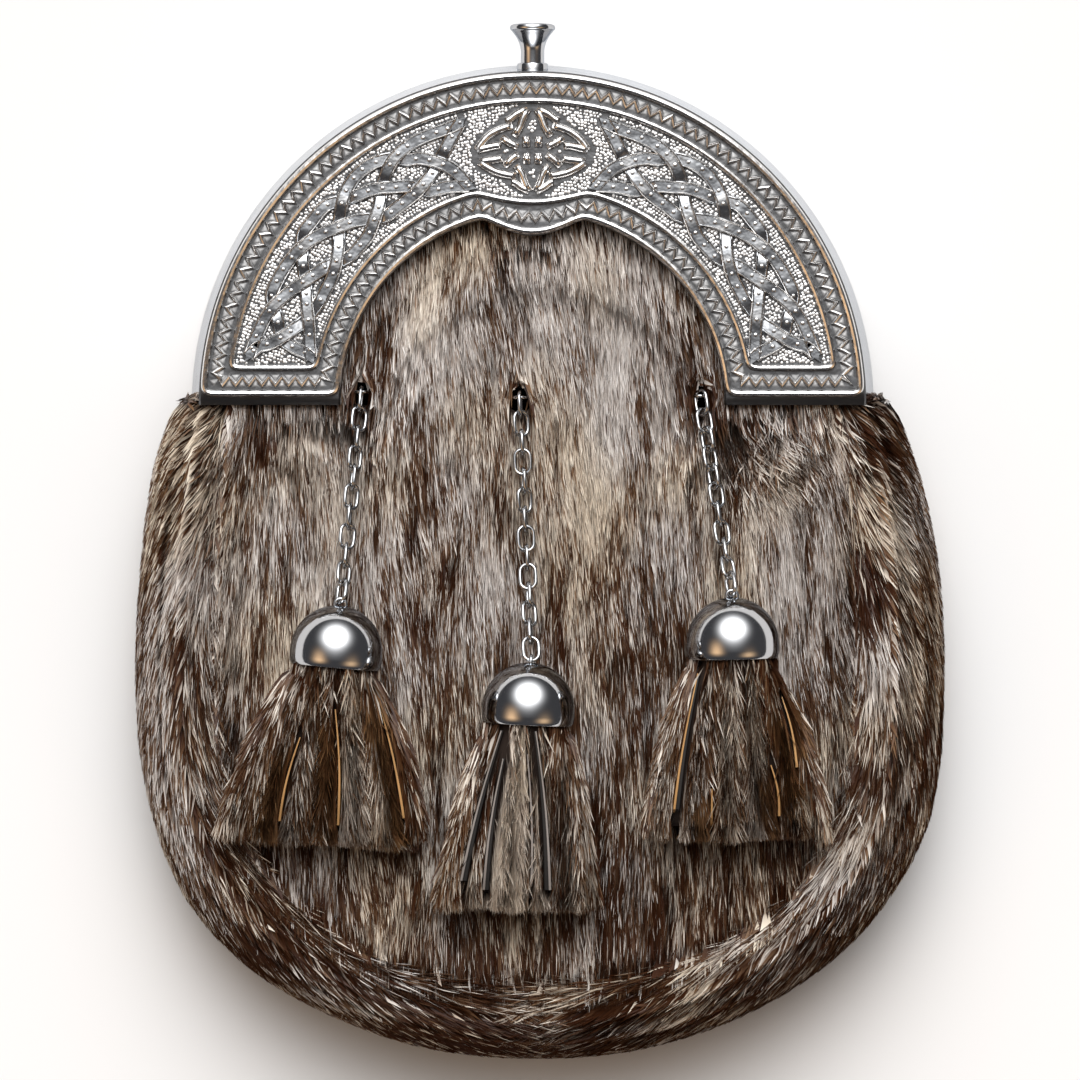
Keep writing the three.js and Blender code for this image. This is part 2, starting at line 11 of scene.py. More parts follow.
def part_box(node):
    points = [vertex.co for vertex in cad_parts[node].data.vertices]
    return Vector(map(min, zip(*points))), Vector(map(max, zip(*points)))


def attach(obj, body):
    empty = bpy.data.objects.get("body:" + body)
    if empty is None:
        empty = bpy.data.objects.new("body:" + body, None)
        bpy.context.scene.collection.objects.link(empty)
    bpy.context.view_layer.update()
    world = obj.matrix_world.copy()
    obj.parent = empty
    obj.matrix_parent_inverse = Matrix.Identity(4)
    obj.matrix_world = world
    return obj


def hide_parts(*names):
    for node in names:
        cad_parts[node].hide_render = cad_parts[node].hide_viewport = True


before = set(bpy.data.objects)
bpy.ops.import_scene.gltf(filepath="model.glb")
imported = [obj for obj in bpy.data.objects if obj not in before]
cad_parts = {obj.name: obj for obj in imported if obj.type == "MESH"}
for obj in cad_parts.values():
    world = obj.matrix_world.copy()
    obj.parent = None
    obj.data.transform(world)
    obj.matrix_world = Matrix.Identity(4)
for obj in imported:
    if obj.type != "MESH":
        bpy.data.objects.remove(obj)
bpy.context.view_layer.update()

# Frame hoop: a flat brass strip bent to a half round, flared towards the back, and chrome plated.
# It is the stiff mouth of the pouch behind the cantle; a collar for the knob is soldered on its top.
MM = 0.001
ARCH = Vector((-1.65, 29.9, 0))
HOOP_R, HOOP_END = 76.6, 2.2
KNOB_SEAT = Vector((ARCH.x, 104.9, 17))
BORE_R, COLLAR_R = 2.75, 3.45


def linear(colour):
    """Linear red, green, blue and alpha of an sRGB hex colour."""
    parts = [int(colour[k:k + 2], 16) / 255 for k in (0, 2, 4)]
    return [c / 12.92 if c <= 0.04045 else ((c + 0.055) / 1.055) ** 2.4 for c in parts] + [1]


def add_node(tree, kind, settings=None, values=None, links=None):
    """Adds a shader node with its settings, its inputs' values, and links from outputs or nodes' first outputs."""
    node = tree.nodes.new("ShaderNode" + kind)
    for name, value in (settings or {}).items():
        setattr(node, name, value)
    for name, value in (values or {}).items():
        node.inputs[name].default_value = value
    for name, source in (links or {}).items():
        tree.links.new(getattr(source, "outputs", [source])[0], node.inputs[name])
    return node


def new_material(name, colour, metallic, roughness):
    """A material of one principled shader with those values; returns it, its tree and the shader."""
    material = bpy.data.materials.new(name)
    material.use_nodes = True
    shader = material.node_tree.nodes["Principled BSDF"]
    shader.inputs["Base Color"].default_value = linear(colour)
    shader.inputs["Metallic"].default_value = metallic
    shader.inputs["Roughness"].default_value = roughness
    return material, material.node_tree, shader


def pick(*pieces):
    """Selects those pieces alone and makes the first one active."""
    bpy.ops.object.select_all(action="DESELECT")
    for piece in pieces:
        piece.select_set(True)
    bpy.context.view_layer.objects.active = pieces[0]


def edit(piece):
    """Opens that piece alone in edit mode, with all of it selected."""
    pick(piece)
    bpy.ops.object.mode_set(mode="EDIT")
    bpy.ops.mesh.select_mode(type="VERT")
    bpy.ops.mesh.select_all(action="SELECT")


def close_edit(smooth_angle=35):
    """Turns the faces outwards and leaves edit mode, shaded smooth but at sharper edges than the angle."""
    bpy.ops.mesh.select_all(action="SELECT")
    bpy.ops.mesh.normals_make_consistent(inside=False)
    bpy.ops.object.mode_set(mode="OBJECT")
    bpy.ops.object.shade_smooth_by_angle(angle=radians(smooth_angle))


def new_outline(name, corners):
    """A closed outline of edges through corners in millimetres, from a circle with a vertex for each."""
    bpy.ops.mesh.primitive_circle_add(vertices=len(corners), radius=1)
    piece = bpy.context.object
    piece.name = piece.data.name = name
    for vertex, corner in zip(piece.data.vertices, corners):
        vertex.co = Vector(corner) * MM
    return piece


def spin(piece, turn, steps, centre, axis):
    """Spins an outline anticlockwise about an axis; a part turn is capped at both ends."""
    edit(piece)
    bpy.ops.mesh.spin(steps=steps, angle=-turn, center=centre * MM, axis=axis)
    bpy.ops.mesh.select_all(action="SELECT")
    bpy.ops.mesh.remove_doubles(threshold=1e-6)
    bpy.ops.mesh.delete_loose()
    bpy.ops.mesh.select_all(action="SELECT")
    bpy.ops.mesh.fill_holes(sides=0)
    close_edit()


def join(pieces):
    """Joins pieces into the first one."""
    pick(*pieces)
    bpy.ops.object.join()


def hand_over(piece, slot, *nodes, body="pouch"):
    """Says which body the piece rides on and the nodes that it stands for; its material slot is not used."""
    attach(piece, body)
    if nodes:
        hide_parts(*nodes)


# Polished chrome: a clear mirror with the faint uneven haze of handling.
chrome, tree, shader = new_material("polished chrome", "c6c7c9", 1, 0.09)
spot = add_node(tree, "TexCoord").outputs["Object"]
haze = add_node(tree, "TexNoise", values={"Scale": 90, "Detail": 3}, links={"Vector": spot})
spread = add_node(tree, "MapRange", values={"To Min": 0.05, "To Max": 0.15}, links={"Value": haze})
tree.links.new(spread.outputs["Result"], shader.inputs["Roughness"])
shader.inputs["Specular Tint"].default_value = linear("b4b9c0")

# Radius and height of the strip's corners, with its edges eased.
hoop_section = [
    (76.2, 0), (76.57, 0.4), (73.44, 33.6), (73.0, 34), (72.0, 34), (71.64, 33.6), (74.77, 0.4), (75.2, 0)]
end_angle = asin(HOOP_END / HOOP_R)
hoop = new_outline("frame_hoop_band", [
    (ARCH.x + r * cos(end_angle), ARCH.y + r * sin(end_angle), z) for r, z in hoop_section])
spin(hoop, pi - 2 * end_angle, 160, ARCH, (0, 0, 1))
bpy.ops.mesh.primitive_cylinder_add(
    vertices=48, radius=BORE_R * MM, depth=12 * MM, location=KNOB_SEAT * MM, rotation=(pi / 2, 0, 0))
bore = bpy.context.object
cut = hoop.modifiers.new("bore", "BOOLEAN")
cut.object, cut.operation = bore, "DIFFERENCE"
pick(hoop)
bpy.ops.object.modifier_apply(modifier="bore")
bpy.data.objects.remove(bore)
collar_section = [
    (BORE_R, -0.8), (COLLAR_R, -0.8), (COLLAR_R, 0.7), (3.35, 0.95), (3.1, 1.1), (2.85, 1.1), (BORE_R, 1.0)]
collar = new_outline("collar", [KNOB_SEAT + Vector((r, h, 0)) for r, h in collar_section])
spin(collar, 2 * pi, 64, KNOB_SEAT, (0, 1, 0))
join([hoop, collar])
hoop.data.materials.append(chrome)
hand_over(hoop, "polished_metal", "frame_hoop")

# Clasp knob: a turned brass trumpet on a stem, chrome plated. The stem slides in the hoop's collar
# and a stop disc inside the hoop holds it; pressing it lets the catch go.
# Radius and height over the seat, from the stop disc up the stem to the lip of the trumpet.
knob_section = [
    (0, -4.4), (3.6, -4.4), (3.6, -2.7), (2.58, -2.7), (2.58, 3.8), (2.68, 4.5), (2.88, 5.3), (3.18, 6.1), (3.6, 6.9),
    (4.1, 7.6), (4.5, 8.1), (4.62, 8.3), (4.85, 8.42), (5.0, 8.7), (5.02, 9.1), (4.85, 9.5), (4.4, 9.72), (3.2, 9.85),
    (0, 9.95)]
knob = new_outline("clasp_knob_turned", [KNOB_SEAT + Vector((r, h, 0)) for r, h in knob_section])
spin(knob, 2 * pi, 64, KNOB_SEAT, (0, 1, 0))
knob.data.materials.append(chrome)
hand_over(knob, "polished_metal", "clasp_knob", body="knob")

# Cantle plate: a zinc casting, chrome plated, pinned to the front of the hoop; its colour has shade painted into the
# recesses and light painted onto the crests.
# Two rounded rails with a zigzag between them go round a pebbled ground that carries an interlaced band.
PLATE_BACK, PLATE_EDGE, PLATE_TOP, CREST = 34.3, 36.5, 36.9, 38.1
PLATE_R_IN, PLATE_R_OUT = 42.2, 73.3
SCALLOP_DIP, SCALLOP_HALF = 5, 10.85
RIM_OUT, RIM_IN, RIM_LEG = 72.2, 43.1, 2.5
RAIL_OUT, RAIL_IN, RAIL_LEG, RAIL_DIP = 66.8, 48.2, 8.1, 0.74


def scallop(angle):
    """How far the scallop in the middle of the arch brings the inner edge in."""
    return SCALLOP_DIP * max(0, 1 - (PLATE_R_IN * cos(angle) / SCALLOP_HALF) ** 2)


def on_arch(angle, radius, z=PLATE_TOP):
    return ARCH.x + radius * cos(angle), ARCH.y + radius * sin(angle), z


def lengths_along(way):
    """The length of a way up to each of its points."""
    return np.concatenate([[0], np.cumsum(norm(np.diff(way, axis=0), axis=1))])


def points_along(way, at):
    """The points of a way at those lengths along it."""
    return np.column_stack([np.interp(at, lengths_along(way), column) for column in way.T])


def arch_loop(outer, inner, leg, dip, spacing):
    """A closed way out along the arch, across one leg, back along the inner arch and across the other."""
    way = [on_arch(a, outer) for a in np.linspace(asin(leg / outer), pi - asin(leg / outer), 240)]
    back = np.linspace(pi - asin(leg / inner), asin(leg / inner), 240)
    way = np.array(way + [on_arch(a, inner - dip * scallop(a)) for a in back])
    looped = np.vstack([way, way[:1]])
    whole = lengths_along(looped)[-1]
    return points_along(looped, np.linspace(0, whole, round(whole / spacing / 2) * 2, endpoint=False))


def unit(vectors):
    return vectors / np.maximum(norm(vectors, axis=1), 1e-9)[:, None]


def flat_sides(way, closed):
    """For each point of a way, the level direction across it."""
    ahead, behind = np.roll(way, -1, 0), np.roll(way, 1, 0)
    if not closed:
        ahead[-1], behind[0] = way[-1], way[0]
    along = ahead - behind
    return unit(np.column_stack([-along[:, 1], along[:, 0], 0 * along[:, 0]]))


def swept(way, half_width, height, profile, closed=False):
    """Vertices and faces of a bar along a way; profile rows are shares of its half width and height."""
    way, profile = np.asarray(way, float), np.asarray(profile, float)
    n, sides = len(way), len(profile)
    half_width, height = np.broadcast_to(half_width, n), np.broadcast_to(height, n)
    rings = way[:, None] + flat_sides(way, closed)[:, None] * (profile[None, :, :1] * half_width[:, None, None])
    rings[:, :, 2] += profile[None, :, 1] * height[:, None]
    rows = np.arange(n if closed else n - 1)
    a, j = np.meshgrid(rows, np.arange(sides), indexing="ij")
    b, k = (a + 1) % n, (j + 1) % sides
    faces = np.stack([a * sides + j, b * sides + j, b * sides + k, a * sides + k], -1).reshape(-1, 4).tolist()
    if not closed:
        faces += [list(range(sides)), list(range(n * sides - 1, (n - 1) * sides - 1, -1))]
    return rings.reshape(-1, 3), faces


def repeated(vertices, faces, places, sizes=1, turns=0):
    """One small shape set at many places, each with its size and turn about Z, as vertices and faces."""
    vertices, places = np.asarray(vertices, float), np.asarray(places, float)
    count = len(places)
    turns, sizes = np.broadcast_to(turns, count), np.broadcast_to(sizes, count)
    c, s = np.cos(turns)[:, None], np.sin(turns)[:, None]
    x, y, z = vertices.T
    turned = np.stack([c * x - s * y, s * x + c * y, np.broadcast_to(z, (count, len(z)))], -1) * sizes[:, None, None]
    moved = (turned + places[:, None]).reshape(-1, 3)
    return moved, [[v + k * len(vertices) for v in face] for k in range(count) for face in faces]


def new_piece(name, mesh, material):
    """A mesh as a piece in the scene, of one material."""
    piece = bpy.data.objects.new(name, mesh)
    bpy.context.collection.objects.link(piece)
    mesh.materials.append(material)
    return piece


def mesh_of(name, parts, material, smooth_angle=40):
    """One mesh from parts of vertices in millimetres and faces, with its faces turned outwards."""
    vertices, faces = [], []
    for places, polygons in parts:
        start = len(vertices)
        vertices.extend((np.asarray(places) * MM).tolist())
        faces.extend([v + start for v in polygon] for polygon in polygons)
    mesh = bpy.data.meshes.new(name)
    mesh.from_pydata(vertices, [], faces)
    piece = new_piece(name, mesh, material)
    edit(piece)
    close_edit(smooth_angle)
    return piece


def curve_through(points, steps):
    """A smooth line through rows of numbers, with so many steps between each two."""
    p = np.asarray(points, float)
    p = np.vstack([2 * p[0] - p[1], p, 2 * p[-1] - p[-2]])
    t = np.linspace(0, 1, steps, endpoint=False)[:, None]
    spans = [0.5 * (2 * b + (c - a) * t + (2 * a - 5 * b + 4 * c - d) * t ** 2 + (3 * b - a - 3 * c + d) * t ** 3)
             for a, b, c, d in zip(p, p[1:], p[2:], p[3:])]
    return np.vstack(spans + [p[-2:-1]])


def dome_shape(sides, radius, height):
    """A low dome of two rings and a top, open below, where it sits in another piece."""
    angles = [2 * pi * k / sides for k in range(sides)]
    low = [(radius * cos(a), radius * sin(a), 0) for a in angles]
    high = [(0.72 * radius * cos(a), 0.72 * radius * sin(a), 0.72 * height) for a in angles]
    faces = [[k, (k + 1) % sides, sides + (k + 1) % sides, sides + k] for k in range(sides)]
    faces += [[sides + k, sides + (k + 1) % sides, 2 * sides] for k in range(sides)]
    return low + high + [(0, 0, height)], faces


def height_shaded(name, stops):
    """Cast chrome whose colour goes by height over the plate: painted shade low down and painted light on top;
    frosted low down and polished on top.
    """
    metal, tree, shader = new_material(name, "9c9a97", 1, 0.2)
    spot = add_node(tree, "TexCoord").outputs["Object"]
    axes = add_node(tree, "SeparateXYZ", links={"Vector": spot})
    crest = add_node(tree, "MapRange", values={"From Min": PLATE_TOP * MM, "From Max": CREST * MM},
                     links={"Value": axes.outputs["Z"]})
    # Painted shade and light: dark grey on the ground of the plate and near white on the crests, by height alone.
    painted_shading = add_node(tree, "ValToRGB", links={"Fac": crest})
    painted_shading.color_ramp.elements[0].color = linear("6a6a6b")
    painted_shading.color_ramp.elements[1].color = linear("e4e2e0")
    for height, colour in stops:
        painted_shading.color_ramp.elements.new(height).color = linear(colour)
    tree.links.new(painted_shading.outputs["Color"], shader.inputs["Base Color"])
    grain = add_node(tree, "TexNoise", values={"Scale": 900, "Detail": 2}, links={"Vector": spot})
    rubbed = add_node(tree, "MapRange", links={"Value": crest},
                      values={"From Min": 0.3, "From Max": 0.6, "To Min": 0.3, "To Max": 0.12})
    polish = add_node(tree, "Math", {"operation": "MULTIPLY_ADD"}, {1: 0.14}, {0: grain, 2: rubbed})
    tree.links.new(polish.outputs["Value"], shader.inputs["Roughness"])
    uneven = add_node(tree, "TexNoise", values={"Scale": 420, "Detail": 2}, links={"Vector": spot})
    bump = add_node(tree, "Bump", values={"Strength": 0.5, "Distance": 0.0003}, links={"Height": uneven})
    tree.links.new(bump.outputs["Normal"], shader.inputs["Normal"])
    return metal


# Cast chrome: painted light makes the crests and pebble tops bright, and painted shade makes the recesses dark grey.
cast = height_shaded("antiqued cast chrome", [(0.17, "f0efee")])
# Cast band: painted shade makes its sunk face slate between two lips of painted light.
cast_band = height_shaded("antiqued cast chrome band", [(0.5, "b0b1b3"), (0.86, "aaacaf")])

plate_section = [(PLATE_R_IN, PLATE_BACK), (PLATE_R_IN, PLATE_EDGE), (42.6, PLATE_TOP),
                 (72.9, PLATE_TOP), (PLATE_R_OUT, PLATE_EDGE), (PLATE_R_OUT, PLATE_BACK)]
slab = new_outline("cantle_plate_cast", [on_arch(0, r, z) for r, z in plate_section])
spin(slab, pi, 180, ARCH, (0, 0, 1))
# The inner edge takes the scallop, and the top rounds off at the ends of the legs.
LEG_EASE, LEG_DROP = 1.9, 1.1
for vertex in slab.data.vertices:
    out = vertex.co / MM - ARCH
    reach, angle = out.xy.length, np.arctan2(out.y, out.x)
    if reach < 45:
        vertex.co.xy = Vector(on_arch(angle, reach - scallop(angle))[:2]) * MM
    if vertex.co.z > 36 * MM and out.y < LEG_EASE:
        vertex.co.z -= LEG_DROP * MM * (1 - out.y / LEG_EASE) ** 2
slab.data.materials.append(cast)

ROUND = [(-1, 0), (-0.88, 0.5), (-0.55, 0.87), (0, 1), (0.55, 0.87), (0.88, 0.5), (1, 0), (0.8, -0.3), (-0.8, -0.3)]
relief = []
for outer, inner, leg, dip, half, tall in [
        (RIM_OUT, RIM_IN, RIM_LEG, 1, 0.78, 1.65), (RAIL_OUT, RAIL_IN, RAIL_LEG, RAIL_DIP, 0.7, 1.5)]:
    way = arch_loop(outer, inner, leg, dip, 0.8)
    for _ in range(5):
        way = (np.roll(way, 1, 0) + 2 * way + np.roll(way, -1, 0)) / 4
    relief.append(swept(way, half, tall, ROUND, closed=True))

# The zigzag's teeth stand to one side and the other of the border's middle, with a low point in each notch.
TOOTH_PITCH, TOOTH_SWING, NOTCH_SWING = 1.45, 0.95, 1.35
middle_way = arch_loop(
    (RIM_OUT + RAIL_OUT) / 2, (RIM_IN + RAIL_IN) / 2, (RIM_LEG + RAIL_LEG) / 2, (1 + RAIL_DIP) / 2, TOOTH_PITCH)
sides = flat_sides(middle_way, True)
swing = np.where(np.arange(len(middle_way)) % 2, 1.0, -1.0)[:, None]
towards = swing * sides
relief.append(swept(middle_way + TOOTH_SWING * towards, 0.72, 1.05, ROUND, closed=True))
facet = [(-0.9, 0, 0), (0.9, 0, 0), (0, 1.7, 0), (-0.9, 0, 0.02), (0.9, 0, 0.02), (0, 1.7, 0.05), (0, 0.65, 0.15)]
facet_faces = [[0, 2, 1], [3, 4, 6], [4, 5, 6], [5, 3, 6], [0, 1, 4, 3], [1, 2, 5, 4], [2, 0, 3, 5]]
turns = np.arctan2(towards[:, 1], towards[:, 0]) - pi / 2
relief.append(repeated(facet, facet_faces, middle_way - NOTCH_SWING * towards, turns=turns))

# The interlace is one closed band, charted as four runs of angle from the leg end and radius, with the
# height where it passes over or under another run.
OVER, LEVEL, UNDER = 1.5, 1.25, 0.45
KNOT_RUNS = [
    [(9.8, 63.2), (14.7, 62.3), (17.8, 61.7), (21.4, 60.6, OVER), (24.8, 58.9), (28.1, 57.1, OVER), (31, 55.7),
     (33.6, 54.6), (35.5, 53.6, UNDER), (38.2, 51.9), (41.5, 51.5), (45.9, 51.8), (49.5, 53.4, OVER), (52.6, 55.3),
     (55.3, 57.9, UNDER), (57.4, 59.8), (60.5, 61.9, OVER), (65.2, 63.2), (72.9, 63.4), (75.6, 63.9)],
    [(12.1, 49.8), (13, 51.3), (13.8, 54.8), (15, 56.9, UNDER), (18.5, 59), (20.9, 60.8, UNDER), (23.1, 62.2),
     (26.4, 62.3), (30.8, 62), (34.8, 61.2, OVER), (38.6, 59.8), (42.6, 57.7, OVER), (46.1, 56),
     (49.6, 53.7, UNDER), (52.2, 52.4), (54.8, 52.5), (59.5, 52.8), (62.5, 53.5, OVER), (66.2, 55.1),
     (68.6, 57, UNDER), (70.8, 58.9), (72.9, 61), (75.6, 63.9)],
    [(9.8, 63.2), (12, 61.4), (13.1, 59.3), (15.3, 56.8, OVER), (17.8, 54.8), (20.5, 53.2, UNDER), (25.4, 52),
     (28.1, 51.9), (32.1, 52.1), (35.7, 53.1, OVER), (39.2, 54.9), (42.5, 57.6, UNDER), (46.5, 60.8, OVER),
     (49.5, 62.5), (53, 63.6), (56.6, 63.5), (60.5, 62.2, UNDER), (62.9, 60.4), (65.6, 59.3), (68.7, 57, OVER),
     (71.3, 54.5), (73.8, 50)],
    [(12.1, 49.8), (17.4, 51.3), (20.8, 52.6, OVER), (25.6, 55), (28.6, 56.8, UNDER), (31.7, 59.2),
     (34.4, 61.3, UNDER), (36.9, 62.9), (39.7, 63), (43.8, 63), (46.8, 61.4, UNDER), (49.7, 60.1), (53, 59),
     (55.3, 57.8, OVER), (57.5, 56.6), (60.2, 55.2), (62.3, 53.6, UNDER), (64.4, 52), (67.9, 51.4), (73.8, 50)],
]
BAND_HALF, BAND_FACE, PELLET_SPACING = 1.62, 0.72, 3.1
BAND = [(-1, 0), (-0.95, 0.5), (-0.85, 0.9), (-0.74, 1), (-0.63, 0.92), (-0.56, 0.74), (0.56, 0.74), (0.63, 0.92),
        (0.74, 1), (0.85, 0.9), (0.95, 0.5), (1, 0), (0.8, -0.3), (-0.8, -0.3)]
bands, band_lines, pellets, corners = [], [], [], {}
for mirror in (False, True):
    for run in KNOT_RUNS:
        chart = curve_through([(*spot, LEVEL)[:3] for spot in run], 6)
        angles = np.radians(chart[:, 0] if mirror else 180 - chart[:, 0])
        way = np.array([on_arch(a, r) for a, r in zip(angles, chart[:, 1])])
        height = np.clip(chart[:, 2], UNDER, OVER)
        bands.append(swept(way, BAND_HALF, height, BAND))
        band_lines.append(way)
        for end, inner in [(way[0], way[5]), (way[-1], way[-6])]:
            corners.setdefault(tuple(end.round(1)), []).append((inner - end) / norm(inner - end))
        length = lengths_along(way)
        for at in np.arange(1.5, length[-1], PELLET_SPACING):
            k = int(np.searchsorted(length, at))
            if height[k] > 1.1:
                pellets.append(way[k] + (0, 0, BAND_FACE * height[k]))

# The motif over the middle, charted for one quarter about its own centre and turned over to the other three.
QUARTER_MOTIF = [
    [(-0.9, 9.0), (-1.9, 6.9), (-2.6, 5.0), (-3.8, 3.2)], [(-0.9, 9.0), (-2.9, 8.1), (-4.4, 7.0), (-5.3, 6.7)],
    [(-4.0, 5.5), (-6.2, 5.1), (-8.8, 4.1), (-10.9, 2.5), (-12.0, 1.3)],
    [(-12.0, 1.3), (-10.0, 1.4), (-8.0, 1.5), (-6.7, 1.3)],
    [(-6.5, 3.2), (-4.7, 1.7), (-3.1, 0.9)], [(-1.3, 3.0), (-1.3, 0.7)],
]
MOTIF_R = 55.9


def on_motif(x, y, z=PLATE_TOP):
    return on_arch(pi / 2 - x / MOTIF_R, MOTIF_R + y, z)


for flip_x, flip_y in [(1, 1), (-1, 1), (1, -1), (-1, -1)]:
    for line in QUARTER_MOTIF:
        way = np.array([on_motif(flip_x * x, flip_y * y) for x, y in curve_through(line, 5)])
        ends = np.minimum(np.arange(len(way)), np.arange(len(way))[::-1])
        relief.append(swept(way, 0.92, 0.6 + 0.8 * np.minimum(ends / 2, 1), ROUND))
        band_lines.append(way)
for x, y in [(0, 5), (0, -5), (6, 0), (-6, 0)]:
    pellets.append(np.array(on_motif(x, y)))
relief.append(repeated(*dome_shape(8, 0.5, 0.36), pellets))
# Where two runs meet, a pointed leaf closes the corner.
LEAF_POINT, LEAF_ARM, LEAF_HALF, LEAF_BACK, LEAF_TALL = 2.0, 3, 1.5, 2.6, 1.02
LEAF_FACES = [[0, 3, 2, 1], [4, 5, 6, 7], [0, 1, 5, 4], [1, 2, 6, 5], [2, 3, 7, 6], [3, 0, 4, 7]]
for place, (first, second) in corners.items():
    if first[0] * second[1] < first[1] * second[0]:
        first, second = second, first
    inward = (first + second) / norm(first + second)
    leaf = place + np.array([
        -LEAF_POINT * inward, LEAF_ARM * first + LEAF_HALF * np.array((first[1], -first[0], 0)),
        LEAF_BACK * inward, LEAF_ARM * second + LEAF_HALF * np.array((-second[1], second[0], 0))])
    top = leaf + 0.14 * (leaf.mean(0) - leaf) + (0, 0, LEAF_TALL)
    bands.append((np.vstack([leaf, top]), LEAF_FACES))

# Pebbles fill the ground between the rails in staggered rows, clear of the bands.
rng = default_rng(11)
PEBBLE_ROWS = np.arange(45.4, 66.0, 0.67)
PEBBLE_PITCH, STAGGER = 0.75, 0.37
pebbles = []
for row, radius in enumerate(PEBBLE_ROWS):
    angles = np.arange((row % 2) * STAGGER, radius * pi, PEBBLE_PITCH) / radius
    pebbles += [
        on_arch(a, radius) for a in angles
        if RAIL_IN + 1 - RAIL_DIP * scallop(a) < radius < RAIL_OUT - 1 and radius * sin(a) > RAIL_LEG + 1]
pebbles = np.array(pebbles) + rng.normal(0, 0.11, (len(pebbles), 3)) * (1, 1, 0)
clear = np.ones(len(pebbles), bool)
for line in band_lines:
    gaps = norm(pebbles[:, None, :2] - line[None, :, :2], axis=2).min(1)
    clear &= gaps > BAND_HALF
pebbles = pebbles[clear]
sizes, turns = rng.uniform(0.75, 1.15, len(pebbles)), rng.uniform(0, 1, len(pebbles))
relief.append(repeated(*dome_shape(6, 0.5, 0.34), pebbles - (0, 0, 0.04), sizes, turns))

join([slab, mesh_of("cantle_relief", relief, cast), mesh_of("cantle_bands", bands, cast_band)])
hand_over(slab, "cast_metal", "cantle_plate")

# Back panel: a black grain leather board sewn into the border, with a row of waxed thread round its edge.
# It is hidden behind the pouch and its pattern is a usual one.
leather, tree, shader = new_material("black grain leather", "1d1b1a", 0, 0.5)
spot = add_node(tree, "TexCoord").outputs["Object"]
cells = add_node(tree, "TexVoronoi", {"feature": "DISTANCE_TO_EDGE"}, {"Scale": 700}, {"Vector": spot})
crease = add_node(tree, "MapRange", values={"From Max": 0.25}, links={"Value": cells.outputs["Distance"]})
bump = add_node(tree, "Bump", values={"Strength": 0.5, "Distance": 0.0002}, links={"Height": crease})
tree.links.new(bump.outputs["Normal"], shader.inputs["Normal"])
# Waxed thread: dull off-black, a little lighter than the leather.
thread, _, _ = new_material("waxed thread", "3a3532", 0, 0.6)


def copy_of(node, name, material):
    """A merged copy of a node as a new piece, in edit mode with all of it selected."""
    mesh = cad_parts[node].data.copy()
    mesh.materials.clear()
    piece = new_piece(name, mesh, material)
    edit(piece)
    bpy.ops.mesh.remove_doubles(threshold=1e-6)
    return piece


def stitches(name, way, z, length=2.6):
    """A row of lying stitches at points of a way, each turned along it."""
    way = np.asarray(way, float)
    along = np.roll(way, -1, 0) - way
    along[-1] = along[-2]
    bow = [(-0.5, 0), (-0.35, 0.12), (0, 0.2), (0.35, 0.12), (0.5, 0)]
    thick = [0.1, 0.3, 0.34, 0.3, 0.1]
    strand = [(-1, 0), (-0.6, -0.9), (0.6, -0.9), (1, 0), (0.6, 0.9), (-0.6, 0.9)]
    vertices, faces = swept([(share * length, 0, rise) for share, rise in bow], thick, thick, strand)
    places = np.column_stack([way[:, :2], np.full(len(way), z)])
    turns = np.arctan2(along[:, 1], along[:, 0])
    return mesh_of(name, [repeated(vertices * (1, 1, -1), faces, places, turns=turns)], thread)


def leather_copy(node, soft_edge):
    """A node as a piece of leather with its edges eased."""
    piece = copy_of(node, f"{node}_leather", leather)
    bpy.ops.mesh.dissolve_limited(angle_limit=radians(1))
    bpy.ops.mesh.bevel(offset=soft_edge * MM, segments=2)
    close_edit()
    return piece


BACK_Z, SEAM_INSET, STITCH_PITCH = 7, 4, 3.6
back = leather_copy("back_panel", 0.5)
low_edge = np.array([v.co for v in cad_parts["back_panel"].data.vertices]) / MM
low_edge = np.unique(low_edge[low_edge[:, 2] < BACK_Z + 0.1].round(3), axis=0)
middle = low_edge.mean(0)
order = np.argsort(np.arctan2(low_edge[:, 1] - middle[1], low_edge[:, 0] - middle[0]))
rim = low_edge[order]
rim = np.vstack([rim, rim[:1]])
inset = rim + (middle - rim) * (SEAM_INSET / norm(middle - rim, axis=1))[:, None]
row = points_along(inset, np.arange(0, lengths_along(inset)[-1], STITCH_PITCH))
join([back, stitches("back_stitches", row, BACK_Z - 0.05)])
hand_over(back, "leather", "back_panel")

# Strap loops: strips of the same leather, sewn to the back by both feet, for the sporran strap.
# They are hidden too; each foot has a row of stitches.
LOOP_Y, FOOT_Y, FOOT_Z = 46, 21.6, 5.1
for name, x in [("left", -37.65), ("right", 34.35)]:
    loop = leather_copy(f"strap_loop_{name}", 0.35)
    sewn = [stitches("loop_stitches", [(x + step, y) for step in np.arange(-9, 10, 3)], FOOT_Z, 2.2)
            for y in (LOOP_Y - FOOT_Y, LOOP_Y + FOOT_Y)]
    join([loop] + sewn)
    hand_over(loop, "leather", f"strap_loop_{name}")

# Hide: the skin under the fur, sewn from a front and a border strip. The pile hides nearly all of it.
# It is the hide wall of the solids without the thickness that the laid pile takes up.
# Dressed hide: dark brown and matt between the hairs.
skin, _, _ = new_material("dressed hide", "2a1d15", 0, 0.9)
PILE, SEAM_REACH = 1.3, 1.5


def triangles_of(piece):
    """Corners of a piece's triangles, in millimetres."""
    piece.data.calc_loop_triangles()
    corners = np.array([t.vertices[:] for t in piece.data.loop_triangles])
    places = np.array([v.co[:] for v in piece.data.vertices]) / MM
    return places[corners]


def tree_over(pieces):
    """A search tree over the surfaces of pieces, in millimetres."""
    corners = np.vstack([triangles_of(piece) for piece in pieces])
    faces = np.arange(len(corners) * 3).reshape(-1, 3)
    return BVHTree.FromPolygons(corners.reshape(-1, 3).tolist(), faces.tolist())


